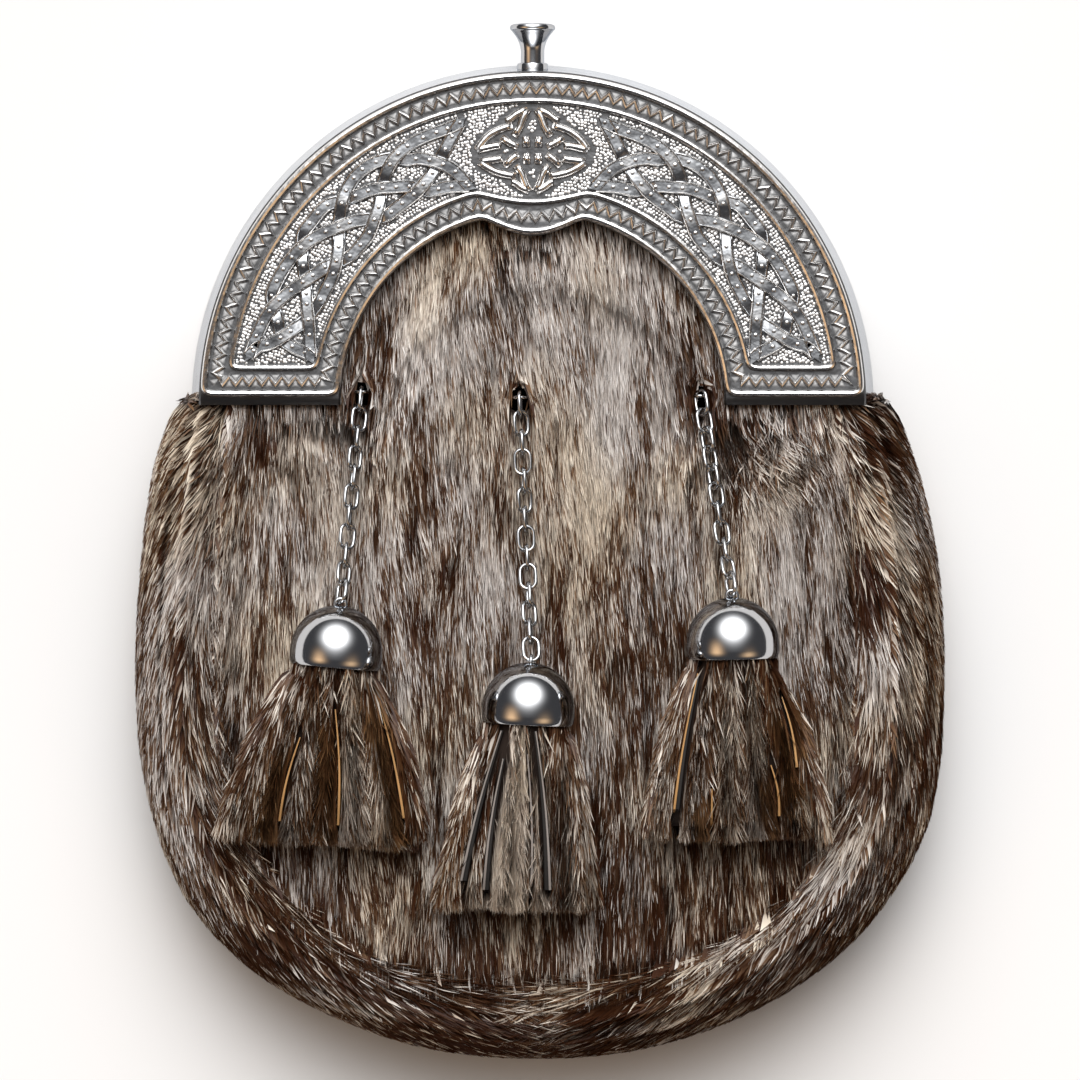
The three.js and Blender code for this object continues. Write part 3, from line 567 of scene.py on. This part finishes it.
hides = {}
for node in ("front_panel", "gusset"):
    hides[node] = copy_of(node, f"{node}_hide", skin)
    bpy.ops.mesh.normals_make_consistent(inside=False)
    bpy.ops.object.mode_set(mode="OBJECT")
    before = [vertex.co.copy() for vertex in hides[node].data.vertices]
    edit(hides[node])
    bpy.ops.transform.shrink_fatten(value=-PILE * MM * 0.8)
    close_edit()
    other = tree_over([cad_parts["gusset" if node == "front_panel" else "front_panel"]])
    for vertex, place in zip(hides[node].data.vertices, before):
        if other.find_nearest(place / MM)[3] < SEAM_REACH:
            vertex.co.xy = place.xy
    hand_over(hides[node], "fur", node)

# Fur: short glossy seal pile, laid down the front and round the border: a dark brown undercoat under
# finer guard hairs with grey and cream tips. Undercoat hairs are slim lozenges and guard hairs slimmer
# triangles, bent over the hide that they grow from.
HAIRS = {"front_panel": (40000, 236000), "gusset": (36000, 190000)}
TASSEL_HAIRS = (8000, 36000)
# DARK_SHARE: the share of guard hairs made dark, partly the fur's own dark hairs and partly painted shade between the
# pale hairs.
FLOOR_GAP, DARK_SHARE = 0.25, 0.35


def scatter(piece, wanted, count):
    """Points spread evenly over those faces of a piece that wanted keeps, with the normals there."""
    corners = triangles_of(piece)
    normals = np.cross(corners[:, 1] - corners[:, 0], corners[:, 2] - corners[:, 0])
    areas = norm(normals, axis=1)
    normals /= np.maximum(areas, 1e-9)[:, None]
    chance = areas * wanted(corners.mean(1), normals)
    chosen = rng.choice(len(areas), count, p=chance / chance.sum())
    u, v = rng.random((2, count))
    u, v = np.where(u + v > 1, 1 - u, u)[:, None], np.where(u + v > 1, 1 - v, v)[:, None]
    a, b, c = (corners[chosen, k] for k in range(3))
    return a + u * (b - a) + v * (c - a), normals[chosen]


def along_surface(vectors, normals):
    return unit(vectors - normals * (vectors * normals).sum(1)[:, None])


def nearest(surface, points):
    found = [surface.find_nearest(p)[:2] for p in points.tolist()]
    return np.array([f[0] for f in found]), np.array([f[1] for f in found])


def waves(across, along, seed, across_mm, along_mm):
    """Smooth random light and dark of about those lengths across and along the nap, near -1 to 1."""
    dice = default_rng(seed)
    turns_x, turns_y = dice.normal(0, 2 * pi / across_mm, 20), dice.normal(0, 2 * pi / along_mm, 20)
    total = np.zeros(len(across))
    for kx, ky, phase in zip(turns_x, turns_y, dice.uniform(0, 2 * pi, 20)):
        total += np.cos(kx * across + ky * along + phase)
    return total / 4.5


def tufts(across, along, width, length):
    """How far each hair lies from the middle of its tuft, and the tuft's own random share."""
    column = np.floor(across / width).astype(int)
    row = np.floor(along / length + default_rng(3).random(512)[column % 512]).astype(int)
    share = default_rng(4).random((512, 512))[column % 512, row % 512]
    return (column + 0.25 + 0.5 * share) * width - across, share


# Tones from dark to light for the root, middle and tip of a hair.
TONES = {
    "root": ["0e0603", "291810", "7a6c61"], "middle": ["32190c", "684734", "e6dfd8"],
    "tip": ["482917", "93785f", "fbf8f5"]}
# Fur: each hair carries its own colour; a low sheen runs along the lie of the pile.
pile, tree, shader = new_material("seal fur", "6b5a4d", 0, 0.4)
own = add_node(tree, "Attribute", {"attribute_name": "hair_colour"})
tree.links.new(own.outputs["Color"], shader.inputs["Base Color"])
shader.inputs["Specular IOR Level"].default_value = 0.22


def hair_mesh(name, keep, laid, width, tone, warmth, fine):
    """One mesh of the hairs to keep, coloured by vertex: lozenges for undercoat, slim triangles for guard hairs."""
    root, middle, tip, side = (part[keep] for part in laid)
    width, tone, warmth, fine = (values[keep] for values in (width, tone, warmth, fine))
    half = side * (width * (0.4 + 0.3 * tone))[:, None]
    wool = ~fine
    lozenges = np.stack([root[wool], (middle - half)[wool], tip[wool], (middle + half)[wool]], 1)
    blades = np.stack([root[fine], (middle + 2 * half)[fine], tip[fine]], 1)
    places = np.vstack([lozenges.reshape(-1, 3), blades.reshape(-1, 3)])
    places[:, 2] = np.maximum(places[:, 2], FLOOR_GAP)
    first_blade = lozenges.size // 3
    faces = np.arange(first_blade).reshape(-1, 4).tolist()
    faces += np.arange(first_blade, len(places)).reshape(-1, 3).tolist()
    mesh = bpy.data.meshes.new(name)
    mesh.from_pydata((places * MM).tolist(), [], faces)
    mesh.shade_smooth()
    tints = 1 + (warmth[:, None] + 0.4) * (0.05, 0, -0.1, 0)
    shades = {}
    for part, colours in TONES.items():
        stops = np.array([linear(c) for c in colours]).T
        shades[part] = tints * np.column_stack([np.interp(tone, [0, 0.5, 1], stop) for stop in stops])
    kinds = [(wool, ("root", "middle", "tip", "middle")), (fine, ("root", "middle", "tip"))]
    colours = [np.stack([shades[part][kind] for part in parts], 1).ravel() for kind, parts in kinds]
    attribute = mesh.attributes.new("hair_colour", "FLOAT_COLOR", "POINT")
    attribute.data.foreach_set("color", np.concatenate(colours).astype(np.float32))
    return new_piece(name, mesh, pile)


def lay(surface, roots, normals, nap, length, lift, pull, rise):
    """Lays hairs along the nap over a surface, raised by their rise at the root and their lift beyond."""
    nap = along_surface(nap, normals)
    on, n1 = nearest(surface, roots + nap * (length / 2)[:, None])
    middle = on + n1 * (0.75 * lift)[:, None]
    on_nap = along_surface(nap, n1)
    side = np.cross(on_nap, n1)
    on, n2 = nearest(surface, on + on_nap * (length / 2)[:, None] + side * pull[:, None])
    tip = on + n2 * lift[:, None]
    roll = rng.normal(0, 0.55, len(roots))[:, None]
    return roots + (rise - 0.2)[:, None] * normals, middle, tip, unit(np.cos(roll) * side + np.sin(roll) * n1)


def coat(wool, guard):
    """Which hairs of a coat are guard hairs, and each hair's length, width and lift."""
    fine = np.arange(wool + guard) >= wool
    count = len(fine)
    length = np.where(fine, rng.uniform(4.5, 9, count), rng.uniform(5, 8, count))
    width = np.where(fine, rng.uniform(0.12, 0.22, count), rng.uniform(0.4, 0.6, count))
    lift = np.where(fine, rng.uniform(0.9, 1.9, count), rng.uniform(0.5, 1.2, count))
    return fine, length, width, lift


def hair_tone(base, fine):
    """Tone of each hair: the undercoat is darker than the coat, and guard hairs are either brown or pale, a share of
    the brown ones dark as the fur's own dark hairs and as painted shade between the pale ones.
    """
    count = len(base)
    pale = fine & (rng.random(count) < np.clip(0.1 + 1.15 * (base - 0.1), 0.06, 0.8))
    # A share of guard hairs is dark throughout: partly the fur's own dark hairs, partly painted shade between the
    # pale hairs.
    brown = (0.7 * base + rng.uniform(0, 0.2, count)) * (rng.random(count) > DARK_SHARE)
    wool = np.minimum(0.6 * base, 0.35) + rng.normal(0, 0.06, count)
    tone = np.where(fine, brown, wool)
    return np.clip(np.where(pale, rng.uniform(0.7, 1, count), tone), 0, 1)


# Marks of the hide as charted, the last three being painted shadow below the tassels: place, half width, half height,
# and how much lighter or darker.
HIDE_MARKS_AND_SHADOWS = [
    (-24, 48, 5, 10, 0.28), (0, 52, 3, 13, 0.22), (13, 58, 6, 6, 0.3), (18, 46, 4, 13, 0.32), (12, 24, 7, 12, 0.5),
    (11, 11, 7, 8, 0.35), (-10, -5, 4, 9, 0.42), (-46, 18, 4, 12, 0.25), (-50, -7, 4, 6, 0.32),
    (-70, 27, 4, 4, 0.35), (-77, -6, 4, 9, 0.38), (-77, -55, 6, 12, 0.2), (51, 8, 6, 8, 0.25), (52, -5, 8, 5, 0.3),
    (63, 2, 3, 12, 0.22), (76, 4, 4, 10, 0.25), (78, -28, 4, 8, 0.3), (68, -68, 5, 10, 0.25), (54, -86, 5, 6, 0.35),
    (38, -96, 5, 4, 0.4), (8, -103, 5, 6, 0.35), (-31, -80, 4, 9, 0.25), (-37, 46, 5, 14, -0.22),
    (-6, 46, 4, 10, -0.2), (-22, 12, 4, 12, -0.22), (-20, -3, 4, 5, -0.35), (-28, -13, 6, 4, -0.3),
    (-60, 24, 7, 5, -0.3), (34, 36, 5, 10, -0.3), (73, 24, 5, 7, -0.4), (72, -7, 5, 7, -0.4), (18, -22, 4, 8, -0.3),
    # The last three marks on this line are painted shadow below the tassels.
    (86, -40, 4, 8, -0.3), (-25, -107, 22, 5, -0.3), (16, -106, 7, 5, -0.3), (-62, -84, 12, 7, -0.22),
]
HOLES, HOLE_CLEAR = [(-39.2, 32.8), (-4.4, 31.5), (35.2, 31.9)], 2.1


def hide_tone(roots, across, along, share):
    """Lightness of the coat at each root, lighter towards the top, from the hide's marks, the painted shadow below
    the tassels, its streaks and its tufts.
    """
    tone = 0.29 + 0.0017 * roots[:, 1] + 0.17 * waves(across, along, 21, 14, 50)
    tone += 0.1 * waves(across, along, 22, 5, 35) + 0.1 * (share - 0.5)
    tone += 0.5 * (tufts(across, along, 0.55, 7)[1] - 0.5)
    for x, y, half_x, half_y, amount in HIDE_MARKS_AND_SHADOWS:
        tone += 1.35 * amount * np.exp(-((roots[:, 0] - x) / half_x) ** 2 - ((roots[:, 1] - y) / half_y) ** 2)
    return tone


def clear_of_holes(*ends):
    """Which hairs leave the chains' holes open."""
    keep = np.ones(len(ends[0]), bool)
    for hole in HOLES:
        for a, b in zip(ends, ends[1:]):
            for share in (0, 0.33, 0.67, 1):
                keep &= norm((a + share * (b - a))[:, :2] - hole, axis=1) > HOLE_CLEAR
    return keep


def cross_seam(roots, nap, other, reach):
    """Turns the nap of hairs near the other piece of hide towards it, some more than others, to cover the seam."""
    surface = tree_over([other])
    to_seam = nearest(surface, roots)[0] - roots
    gap = norm(to_seam, axis=1)
    near = np.exp(-(gap / reach) ** 2) * rng.uniform(0, 0.7, len(roots))
    return nap + unit(to_seam * (1, 1, 0)) * near[:, None], gap


def raise_over_seam(laid, lift, gap):
    """Keeps the hairs next to the seam from dipping into it."""
    root, middle, tip, _ = laid
    close = gap < 6
    for part in (middle, tip):
        part[close, 2] = np.maximum(part[close, 2], root[close, 2] + 0.5 * lift[close])


hide_surface = tree_over(hides.values())
fine, length, width, lift = coat(*HAIRS["front_panel"])
count = len(length)
roots, normals = scatter(hides["front_panel"], lambda middle, normal: normal[:, 2] > 0.3, count)
across, along = roots[:, 0], roots[:, 1]
off, share = tufts(across + 1.5 * waves(across, along, 5, 12, 40), along, 2.0, 7)
# A ruffled place below the right leg of the cantle, where the pile lies every way.
ruffled = np.exp(-((across - 51) / 9) ** 2 - ((along - 19) / 8) ** 2)
sway = 0.07 * waves(across, along, 6, 30, 50) + rng.normal(0, 0.06 + 0.6 * ruffled, count) + 0.7 * ruffled
nap = np.column_stack([sway, -np.ones(count), np.zeros(count)])
nap, gap = cross_seam(roots, nap, hides["gusset"], 3.5)
laid = lay(hide_surface, roots, normals, nap, length, lift, 0.3 * off, 0.45 * fine * lift)
raise_over_seam(laid, lift, gap)
tone = hair_tone(hide_tone(roots, across, along, share) + 0.075 + 0.0016 * along, fine)
warmth = np.clip(waves(across, along, 41, 40, 60) + 0.8 * ruffled, -0.4, 1)
open_hole = clear_of_holes(*laid[:3])
for name, half in [("left", across < 0), ("right", across >= 0)]:
    fur = hair_mesh(f"front_fur_{name}", half & open_hole, laid, width, tone, warmth, fine)
    hand_over(fur, "fur")


def outer_faces(middle, normal):
    """Border faces that look out of the pouch and not down at what it lies on."""
    starts = (middle + 0.5 * normal).tolist()
    hit = [hide_surface.ray_cast(s, n, 40)[0] for s, n in zip(starts, normal.tolist())]
    return np.array([h is None for h in hit]) & ~((normal[:, 2] < -0.6) & (middle[:, 2] < 5))


fine, length, width, lift = coat(*HAIRS["gusset"])
count = len(length)
BORDER_X, BORDER_Y, BORDER_R, PARTING_X = -1, -20, 85, -2.6
roots, normals = scatter(hides["gusset"], outer_faces, count)
out = unit(np.column_stack([roots[:, 0] - BORDER_X, roots[:, 1] - BORDER_Y, np.zeros(count)]))
turn = np.where(roots[:, 0] < PARTING_X, 1.0, -1.0)[:, None]
down = np.column_stack([-out[:, 1], out[:, 0], 0 * out[:, 0]]) * turn
around = np.arctan2(-out[:, 0], -out[:, 1]) * BORDER_R
across = np.hypot(roots[:, 0] - BORDER_X, roots[:, 1] - BORDER_Y) - roots[:, 2]
off, share = tufts(across + 1.5 * waves(across, around, 7, 14, 40), around, 2.2, 7)
nap = down + 0.2 * out - (0, 0, 0.2) + rng.normal(0, 0.09, (count, 3))
end = (normals[:, 1] > 0.35) & (roots[:, 1] > 24)
ones = np.ones(end.sum())
nap[end] = np.column_stack([-0.25 * np.sign(roots[end, 0]), ones, 0.2 * ones]) + rng.normal(0, 0.2, (len(ones), 3))
nap, gap = cross_seam(roots, nap, hides["front_panel"], 2.5)
laid = lay(hide_surface, roots, normals, nap, 1.1 * length, 1.1 * lift, 0.3 * off, 0.45 * fine * lift)
tone = hair_tone(hide_tone(roots, across, around, share), fine)
warmth = np.clip(waves(across, around, 42, 40, 60) + 0.3, -0.4, 1)
for name, half in [("left", roots[:, 0] < PARTING_X), ("right", roots[:, 0] >= PARTING_X)]:
    fur = hair_mesh(f"border_fur_{name}", half, laid, width, tone, warmth, fine)
    hand_over(fur, "fur")

# Chains: oval links of drawn steel wire, chrome plated, each threaded through the next at a quarter turn.
# They come out of the fur below the cantle, where an eye on a bar holds each behind the hide.
def wire_ring(name, length, width, wire, place):
    """A ring of wire stretched to an oval, lying flat with its length along Y, then set in place."""
    bpy.ops.mesh.primitive_torus_add(
        major_segments=28, minor_segments=8, major_radius=(width / 2 - wire) * MM, minor_radius=wire * MM)
    ring = bpy.context.object
    ring.name = ring.data.name = name
    for vertex in ring.data.vertices:
        vertex.co.y += (length - width) / 2 * MM * max(-1, min(1, vertex.co.y / (0.4 * MM)))
    ring.data.transform(place)
    bpy.ops.object.shade_smooth()
    ring.data.materials.append(chrome)
    return ring


# Length, width and wire radius of a link, of an anchor's eye and of a cap's eye.
LINK, ANCHOR, CAP_EYE = (6.28, 4.3, 0.42), (8.4, 3.4, 0.4), (4.0, 3.2, 0.4)
BAR_R, BAR_LENGTH = 0.9, 10
# Side, number of links, top of the cap, lean in degrees, length below the cap, and half width at the end.
TASSELS = [
    ("left", 11, (-43.5, -13.9), -5, 39.6, 22),
    ("centre", 14, (-2.0, -26.3), -3, 41.2, 16.6),
    ("right", 11, (41.8, -12.1), 1, 40.3, 19.4),
]
for name, links, *_ in TASSELS:
    for k in range(1, links + 1):
        node = f"{name}_link_{k:02d}"
        places = np.array([v.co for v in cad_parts[node].data.vertices])
        middle = (places.max(0) + places.min(0)) / 2
        length_way, width_way, _ = np.linalg.svd(places - places.mean(0), full_matrices=False)[2]
        axes = Matrix((width_way, length_way, np.cross(width_way, length_way))).transposed().to_4x4()
        twist = Matrix.Rotation(radians(18 + 8 * sin(2.1 * k)), 4, "Y")
        place = Matrix.Translation(middle) @ axes @ twist
        link = wire_ring(f"{node}_wire", *LINK, place)
        hand_over(link, "polished_metal", node)
for (name, *_), (x, y) in zip(TASSELS, HOLES):
    low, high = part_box(f"chain_anchor_{name}")
    stand = Matrix.Translation((x * MM, y * MM, high.z - ANCHOR[0] / 2 * MM)) @ Matrix.Rotation(pi / 2, 4, "X")
    eye = wire_ring(f"chain_anchor_{name}_wire", *ANCHOR, stand)
    bpy.ops.mesh.primitive_cylinder_add(vertices=20, radius=BAR_R * MM, depth=BAR_LENGTH * MM)
    bar = bpy.context.object
    bar.data.transform(Matrix.Translation((x * MM, y * MM, low.z + BAR_R * MM)) @ Matrix.Rotation(pi / 2, 4, "Y"))
    bar.data.materials.append(chrome)
    edit(bar)
    bpy.ops.mesh.bevel(offset=0.2 * MM, segments=2)
    close_edit()
    join([eye, bar])
    hand_over(eye, "polished_metal", f"chain_anchor_{name}")

# Tassel caps: bells pressed from sheet brass and chrome plated, with an eye for the chain soldered on top.
# Each holds the necks of its tassel's fur strips.
CAP_R, CAP_LENGTH, CAP_WALL = 10.1, 13.6, 1
cap_tops = {}
for name, links, (x, y), lean, *_ in TASSELS:
    low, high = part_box(f"tassel_dome_{name}")
    cap_tops[name] = Vector((x, y, (low.z + high.z) / 2 / MM))
    bpy.ops.mesh.primitive_uv_sphere_add(segments=56, ring_count=28, radius=CAP_R * MM)
    cap = bpy.context.object
    cap.name = cap.data.name = f"tassel_cap_{name}"
    edit(cap)
    bpy.ops.mesh.bisect(plane_co=(0, 0, 0), plane_no=(0, 0, 1), clear_inner=True)
    bpy.ops.mesh.select_all(action="DESELECT")
    bpy.ops.mesh.select_non_manifold()
    for drop, narrow in [(1.5, 1), (1.1, 0.985), (0.9, 0.955)]:
        bpy.ops.mesh.extrude_region_move(TRANSFORM_OT_translate={"value": (0, 0, -drop * MM)})
        bpy.ops.transform.resize(value=(narrow, narrow, 1))
    close_edit(60)
    wall = cap.modifiers.new("wall", "SOLIDIFY")
    wall.thickness, wall.offset = CAP_WALL * MM, -1
    bpy.ops.object.modifier_apply(modifier="wall")
    soft = cap.modifiers.new("soft rim", "BEVEL")
    soft.width, soft.segments, soft.limit_method = 0.3 * MM, 3, "ANGLE"
    bpy.ops.object.modifier_apply(modifier="soft rim")
    cap.data.transform(Matrix.Translation((0, -CAP_R * MM, 0)) @ Matrix.Rotation(-pi / 2, 4, "X"))
    cap.data.materials.append(chrome)
    stand = Matrix.Translation((0, -0.1 * MM, 0)) @ Matrix.Rotation(0 if links % 2 else pi / 2, 4, "Y")
    eye = wire_ring("eye", *CAP_EYE, stand)
    join([cap, eye])
    cap.data.transform(Matrix.Translation(cap_tops[name] * MM) @ Matrix.Rotation(radians(lean), 4, "Z"))
    hand_over(cap, "polished_metal", f"tassel_dome_{name}")

# Tassels: strips of fur on the hide, bunched in the cap and fanned out below it to a cut end.
# The cut edges of the hide strips show as thin tan or grey lines between the fur, some with the flesh side.
# Cut hide edge: raw tan or grey, dull. Flesh side: dyed black, smooth.
tan_edge, _, _ = new_material("cut tan hide edge", "cfa068", 0, 0.55)
grey_edge, _, _ = new_material("cut grey hide edge", "a39c97", 0, 0.55)
flesh, _, _ = new_material("black flesh side of hide", "343231", 0, 0.5)
# Ends of the edges that show, from the cap down, and the width of flesh side beside each, to its right if positive.
STRIP_EDGES = {
    "left": (tan_edge, [(-52.1, -42.5, -56.8, -60.9, 0), (-44.4, -36.3, -44.0, -61.8, 0),
                        (-35.4, -33.7, -29.7, -60.3, 0)]),
    "centre": (grey_edge, [(-8.4, -40.9, -17.2, -73.9, 1.3), (-8.0, -47, -12.3, -75.9, 1.2),
                           (-2.7, -46, -2.0, -78.5, 0), (-0.9, -41, 2.2, -75.9, -1.3)]),
    "right": (tan_edge, [(34.3, -28.6, 28.8, -62.5, 1.3), (37.4, -53.7, 37.4, -62.0, 0),
                         (52.6, -33.7, 55.9, -49.1, 0), (50.2, -48.6, 52.1, -59.8, 0)]),
}
# Angles of the gaps between strips where no cut edge shows.
SPARE_EDGES = {"left": [-0.24, -0.05, 0.18], "centre": [], "right": [0.03]}
# Tone of each strip from left to right.
STRIP_TONES = {
    "left": (0.22, 0.26, 0.4, 0.18, 0.54, 0.4, 0.14), "centre": (0.32, 0.3, 0.9, 0.66, 0.36),
    "right": (0.22, 0.42, 0.38, 0.46, 0.2, 0.2)}
NECK_R, END_TRIM, FAN_R, EDGE_REACH, EDGE_CLEAR = 8.4, 3.2, 45, 2.5, 0.45
SLAB = [(-1, 0), (-1, 0.92), (-0.7, 1), (0.7, 1), (1, 0.92), (1, 0)]
for name, links, (x, y), lean, length, half in TASSELS:
    core = copy_of(f"tassel_{name}", f"tassel_{name}_core", skin)
    bpy.ops.mesh.normals_make_consistent(inside=False)
    bpy.ops.transform.shrink_fatten(value=-1.0 * MM)
    close_edit()
    way = np.array((sin(radians(lean)), -cos(radians(lean)), 0))
    side_way = np.array((-way[1], way[0], 0))
    rim = np.array(cap_tops[name]) + way * CAP_LENGTH
    for vertex in core.data.vertices:
        if (np.array(vertex.co) / MM - rim) @ way > length - 5:
            vertex.co -= Vector(way) * END_TRIM * MM
    surface = tree_over([core])
    spread_from = rim - way * (NECK_R / (half - NECK_R) * length)
    fine, hair, width, lift = coat(*TASSEL_HAIRS)
    count = len(hair)

    def on_strips(middle, normal):
        return (normal[:, 2] > -0.4) & (normal @ way > -0.7)

    roots, normals = scatter(core, on_strips, count)
    fan = roots - spread_from
    angle = np.arctan2(fan @ side_way, fan @ way)
    arc, down = FAN_R * angle, (roots - rim) @ way
    line_material, edges = STRIP_EDGES[name]
    ends = np.array([(x1, y1, 0) for _, _, x1, y1, _ in edges]) - spread_from
    dividers = np.arctan2(ends @ side_way, ends @ way)
    dividers = np.sort(np.concatenate([dividers, SPARE_EDGES[name], [angle.min() - 0.01, angle.max() + 0.01]]))
    strip = np.searchsorted(dividers, angle) - 1
    across = (angle - dividers[strip]) / (dividers[strip + 1] - dividers[strip])
    crown = 1 - (2 * across - 1) ** 2
    lift = lift * (0.5 + 0.9 * crown)
    own_end = default_rng(links).random(16)
    off, share = tufts(arc, down, 2.4, 16)
    cut = normals @ way > 0.7
    nap = unit(fan * (1, 1, 0.3)) + rng.normal(0, 0.14, (count, 3))
    nap = np.where(cut[:, None], unit(nap), along_surface(nap, normals))
    lift = np.where(cut, 0, lift)
    to_end = length - END_TRIM + 2 * own_end[strip] - (rim[1] - roots[:, 1]) + rng.uniform(0, 2.4, count)
    hair = np.minimum(1.1 * hair, to_end)
    hair = np.where(cut, rng.uniform(2, 4, count), hair)
    level = unit(np.cross(nap, np.where(cut[:, None], (0, 0, 1), normals)))
    middle = roots + nap * (hair / 2)[:, None] + normals * lift[:, None]
    tip = roots + nap * hair[:, None] + normals * (1.1 * lift)[:, None] + level * (0.4 * off)[:, None]
    roll = rng.normal(0, 0.6, count)[:, None]
    side = unit(np.cos(roll) * level + np.sin(roll) * normals)
    base = np.array(STRIP_TONES[name])[strip] + 0.08 * waves(arc, down, 31 + links, 8, 120)
    base += 0.12 * (share - 0.5) + 0.16 * (down / length - 0.5) + 0.4 * (tufts(arc, down, 0.6, 9)[1] - 0.5)
    # Painted shade: each strip's hairs are darker towards its edges, where the strips meet.
    tone = hair_tone(base - 0.3 * (1 - crown) ** 2, fine)
    warmth = 0.5 + 0.4 * waves(arc, down, 51 + links, 12, 80)
    bars, faces = [], []
    keep = (hair > 1.5) & (down > -3)
    for x0, y0, x1, y1, face in edges:
        t = np.linspace(0, 1, 9)
        bow = 0.6 * np.sin(pi * t) * np.sign(x1 - x0)
        line = np.column_stack([x0 + (x1 - x0) * t + bow, y0 + (y1 - y0) * t])
        struck = [surface.ray_cast((px, py, 200), (0, 0, -1))[0] for px, py in line]
        foot = np.array([(px, py, hit.z if hit else 36) for (px, py), hit in zip(line, struck)])
        bars.append(swept(foot - (0, 0, 0.6), 0.14 + 0.18 * t, 2.9, SLAB))
        if face:
            half_face = (0.35 + 0.65 * t) * face / 2
            faces.append(swept(foot + half_face[:, None] * (1, 0, 0) - (0, 0, 0.8), np.abs(half_face), 2.7, SLAB))
        for part in (middle, tip):
            aside = part[:, None, 0] - line[None, :, 0]
            beside = np.abs(part[:, None, 1] - line[None, :, 1]) < EDGE_REACH
            keep &= ~(beside & (aside > min(face, 0) - EDGE_CLEAR) & (aside < max(face, 0) + EDGE_CLEAR)).any(1)
        before = roots[:, None, 0] - line[None, :, 0]
        beside = np.abs(roots[:, None, 1] - line[None, :, 1]) < EDGE_REACH
        near = (beside & (before < 0) & (before > -3.6)).any(1)
        if line_material is tan_edge and not face:
            tone = np.where(near, 0.4 * tone + 0.12, tone)
            warmth += 1.5 * near
    laid = roots + normals * (0.4 * fine * lift)[:, None], middle, tip, side
    fur = hair_mesh(f"tassel_{name}_fur", keep, laid, 0.7 * width, tone, warmth, fine)
    hand_over(fur, "tassel_fur")
    strips = mesh_of(f"tassel_{name}_edges", bars, line_material)
    hand_over(strips, "tassel_fur")
    if faces:
        backs = mesh_of(f"tassel_{name}_flesh_sides", faces, flesh)
        hand_over(backs, "tassel_fur")
    hand_over(core, "tassel_fur", f"tassel_{name}")

# Stage: a plain pale floor that the sporran lies on, one wide soft light high on the knob's side
# in a dim room, and the camera almost straight above.
paper, _, _ = new_material("matt white paper", "f6f6f6", 0, 0.9)
bpy.ops.mesh.primitive_plane_add(size=6)
floor = bpy.context.object
floor.data.materials.append(paper)

world = bpy.data.worlds.new("studio")
world.use_nodes = True
tree = world.node_tree
way_out = add_node(tree, "TexCoord").outputs["Generated"]
light = add_node(tree, "RGB")
light.outputs["Color"].default_value = (0.07, 0.07, 0.075, 1)
# Direction, tightness and colour of the wide lamp, and of two faint warm ones low on the other side.
for direction, tightness, colour in [
        ((0, 0.64, 0.77), 12, (8.5, 8.5, 8.5)), ((-0.66, -0.2, 0.72), 30, (1.5, 0.95, 0.5)),
        ((0.6, -0.45, 0.66), 30, (1.0, 0.65, 0.35))]:
    facing = add_node(tree, "VectorMath", {"operation": "DOT_PRODUCT"}, {1: direction}, {0: way_out})
    front = add_node(tree, "Math", {"operation": "MAXIMUM"}, {1: 0}, {0: facing.outputs["Value"]})
    soft = add_node(tree, "Math", {"operation": "POWER"}, {1: tightness}, {0: front})
    lamp = add_node(tree, "VectorMath", {"operation": "SCALE"}, {0: colour}, {"Scale": soft})
    light = add_node(tree, "VectorMath", {"operation": "ADD"}, links={0: light, 1: lamp})
room = tree.nodes["Background"]
tree.links.new(light.outputs["Vector"], room.inputs["Color"])
backdrop = add_node(tree, "Background", values={"Color": (0.95, 0.95, 0.94, 1)})
seen = add_node(tree, "LightPath")
both = add_node(tree, "MixShader", links={0: seen.outputs["Is Camera Ray"], 1: room, 2: backdrop})
tree.links.new(both.outputs["Shader"], tree.nodes["World Output"].inputs["Surface"])
bpy.context.scene.world = world
bpy.context.scene.view_settings.view_transform = "Standard"

AIM = Vector((0, 0.00022, 0.034))
DISTANCE, TILT = 1.6, radians(0.5)
SENSOR, VIEW_WIDTH = 36, 0.2376
camera = bpy.data.objects.new("camera", bpy.data.cameras.new("camera"))
bpy.context.collection.objects.link(camera)
camera.location = AIM + DISTANCE * Vector((0, sin(TILT), cos(TILT)))
camera.rotation_euler = (-TILT, 0, 0)
camera.data.sensor_width = SENSOR
camera.data.lens = SENSOR * DISTANCE / VIEW_WIDTH
bpy.context.scene.camera = camera
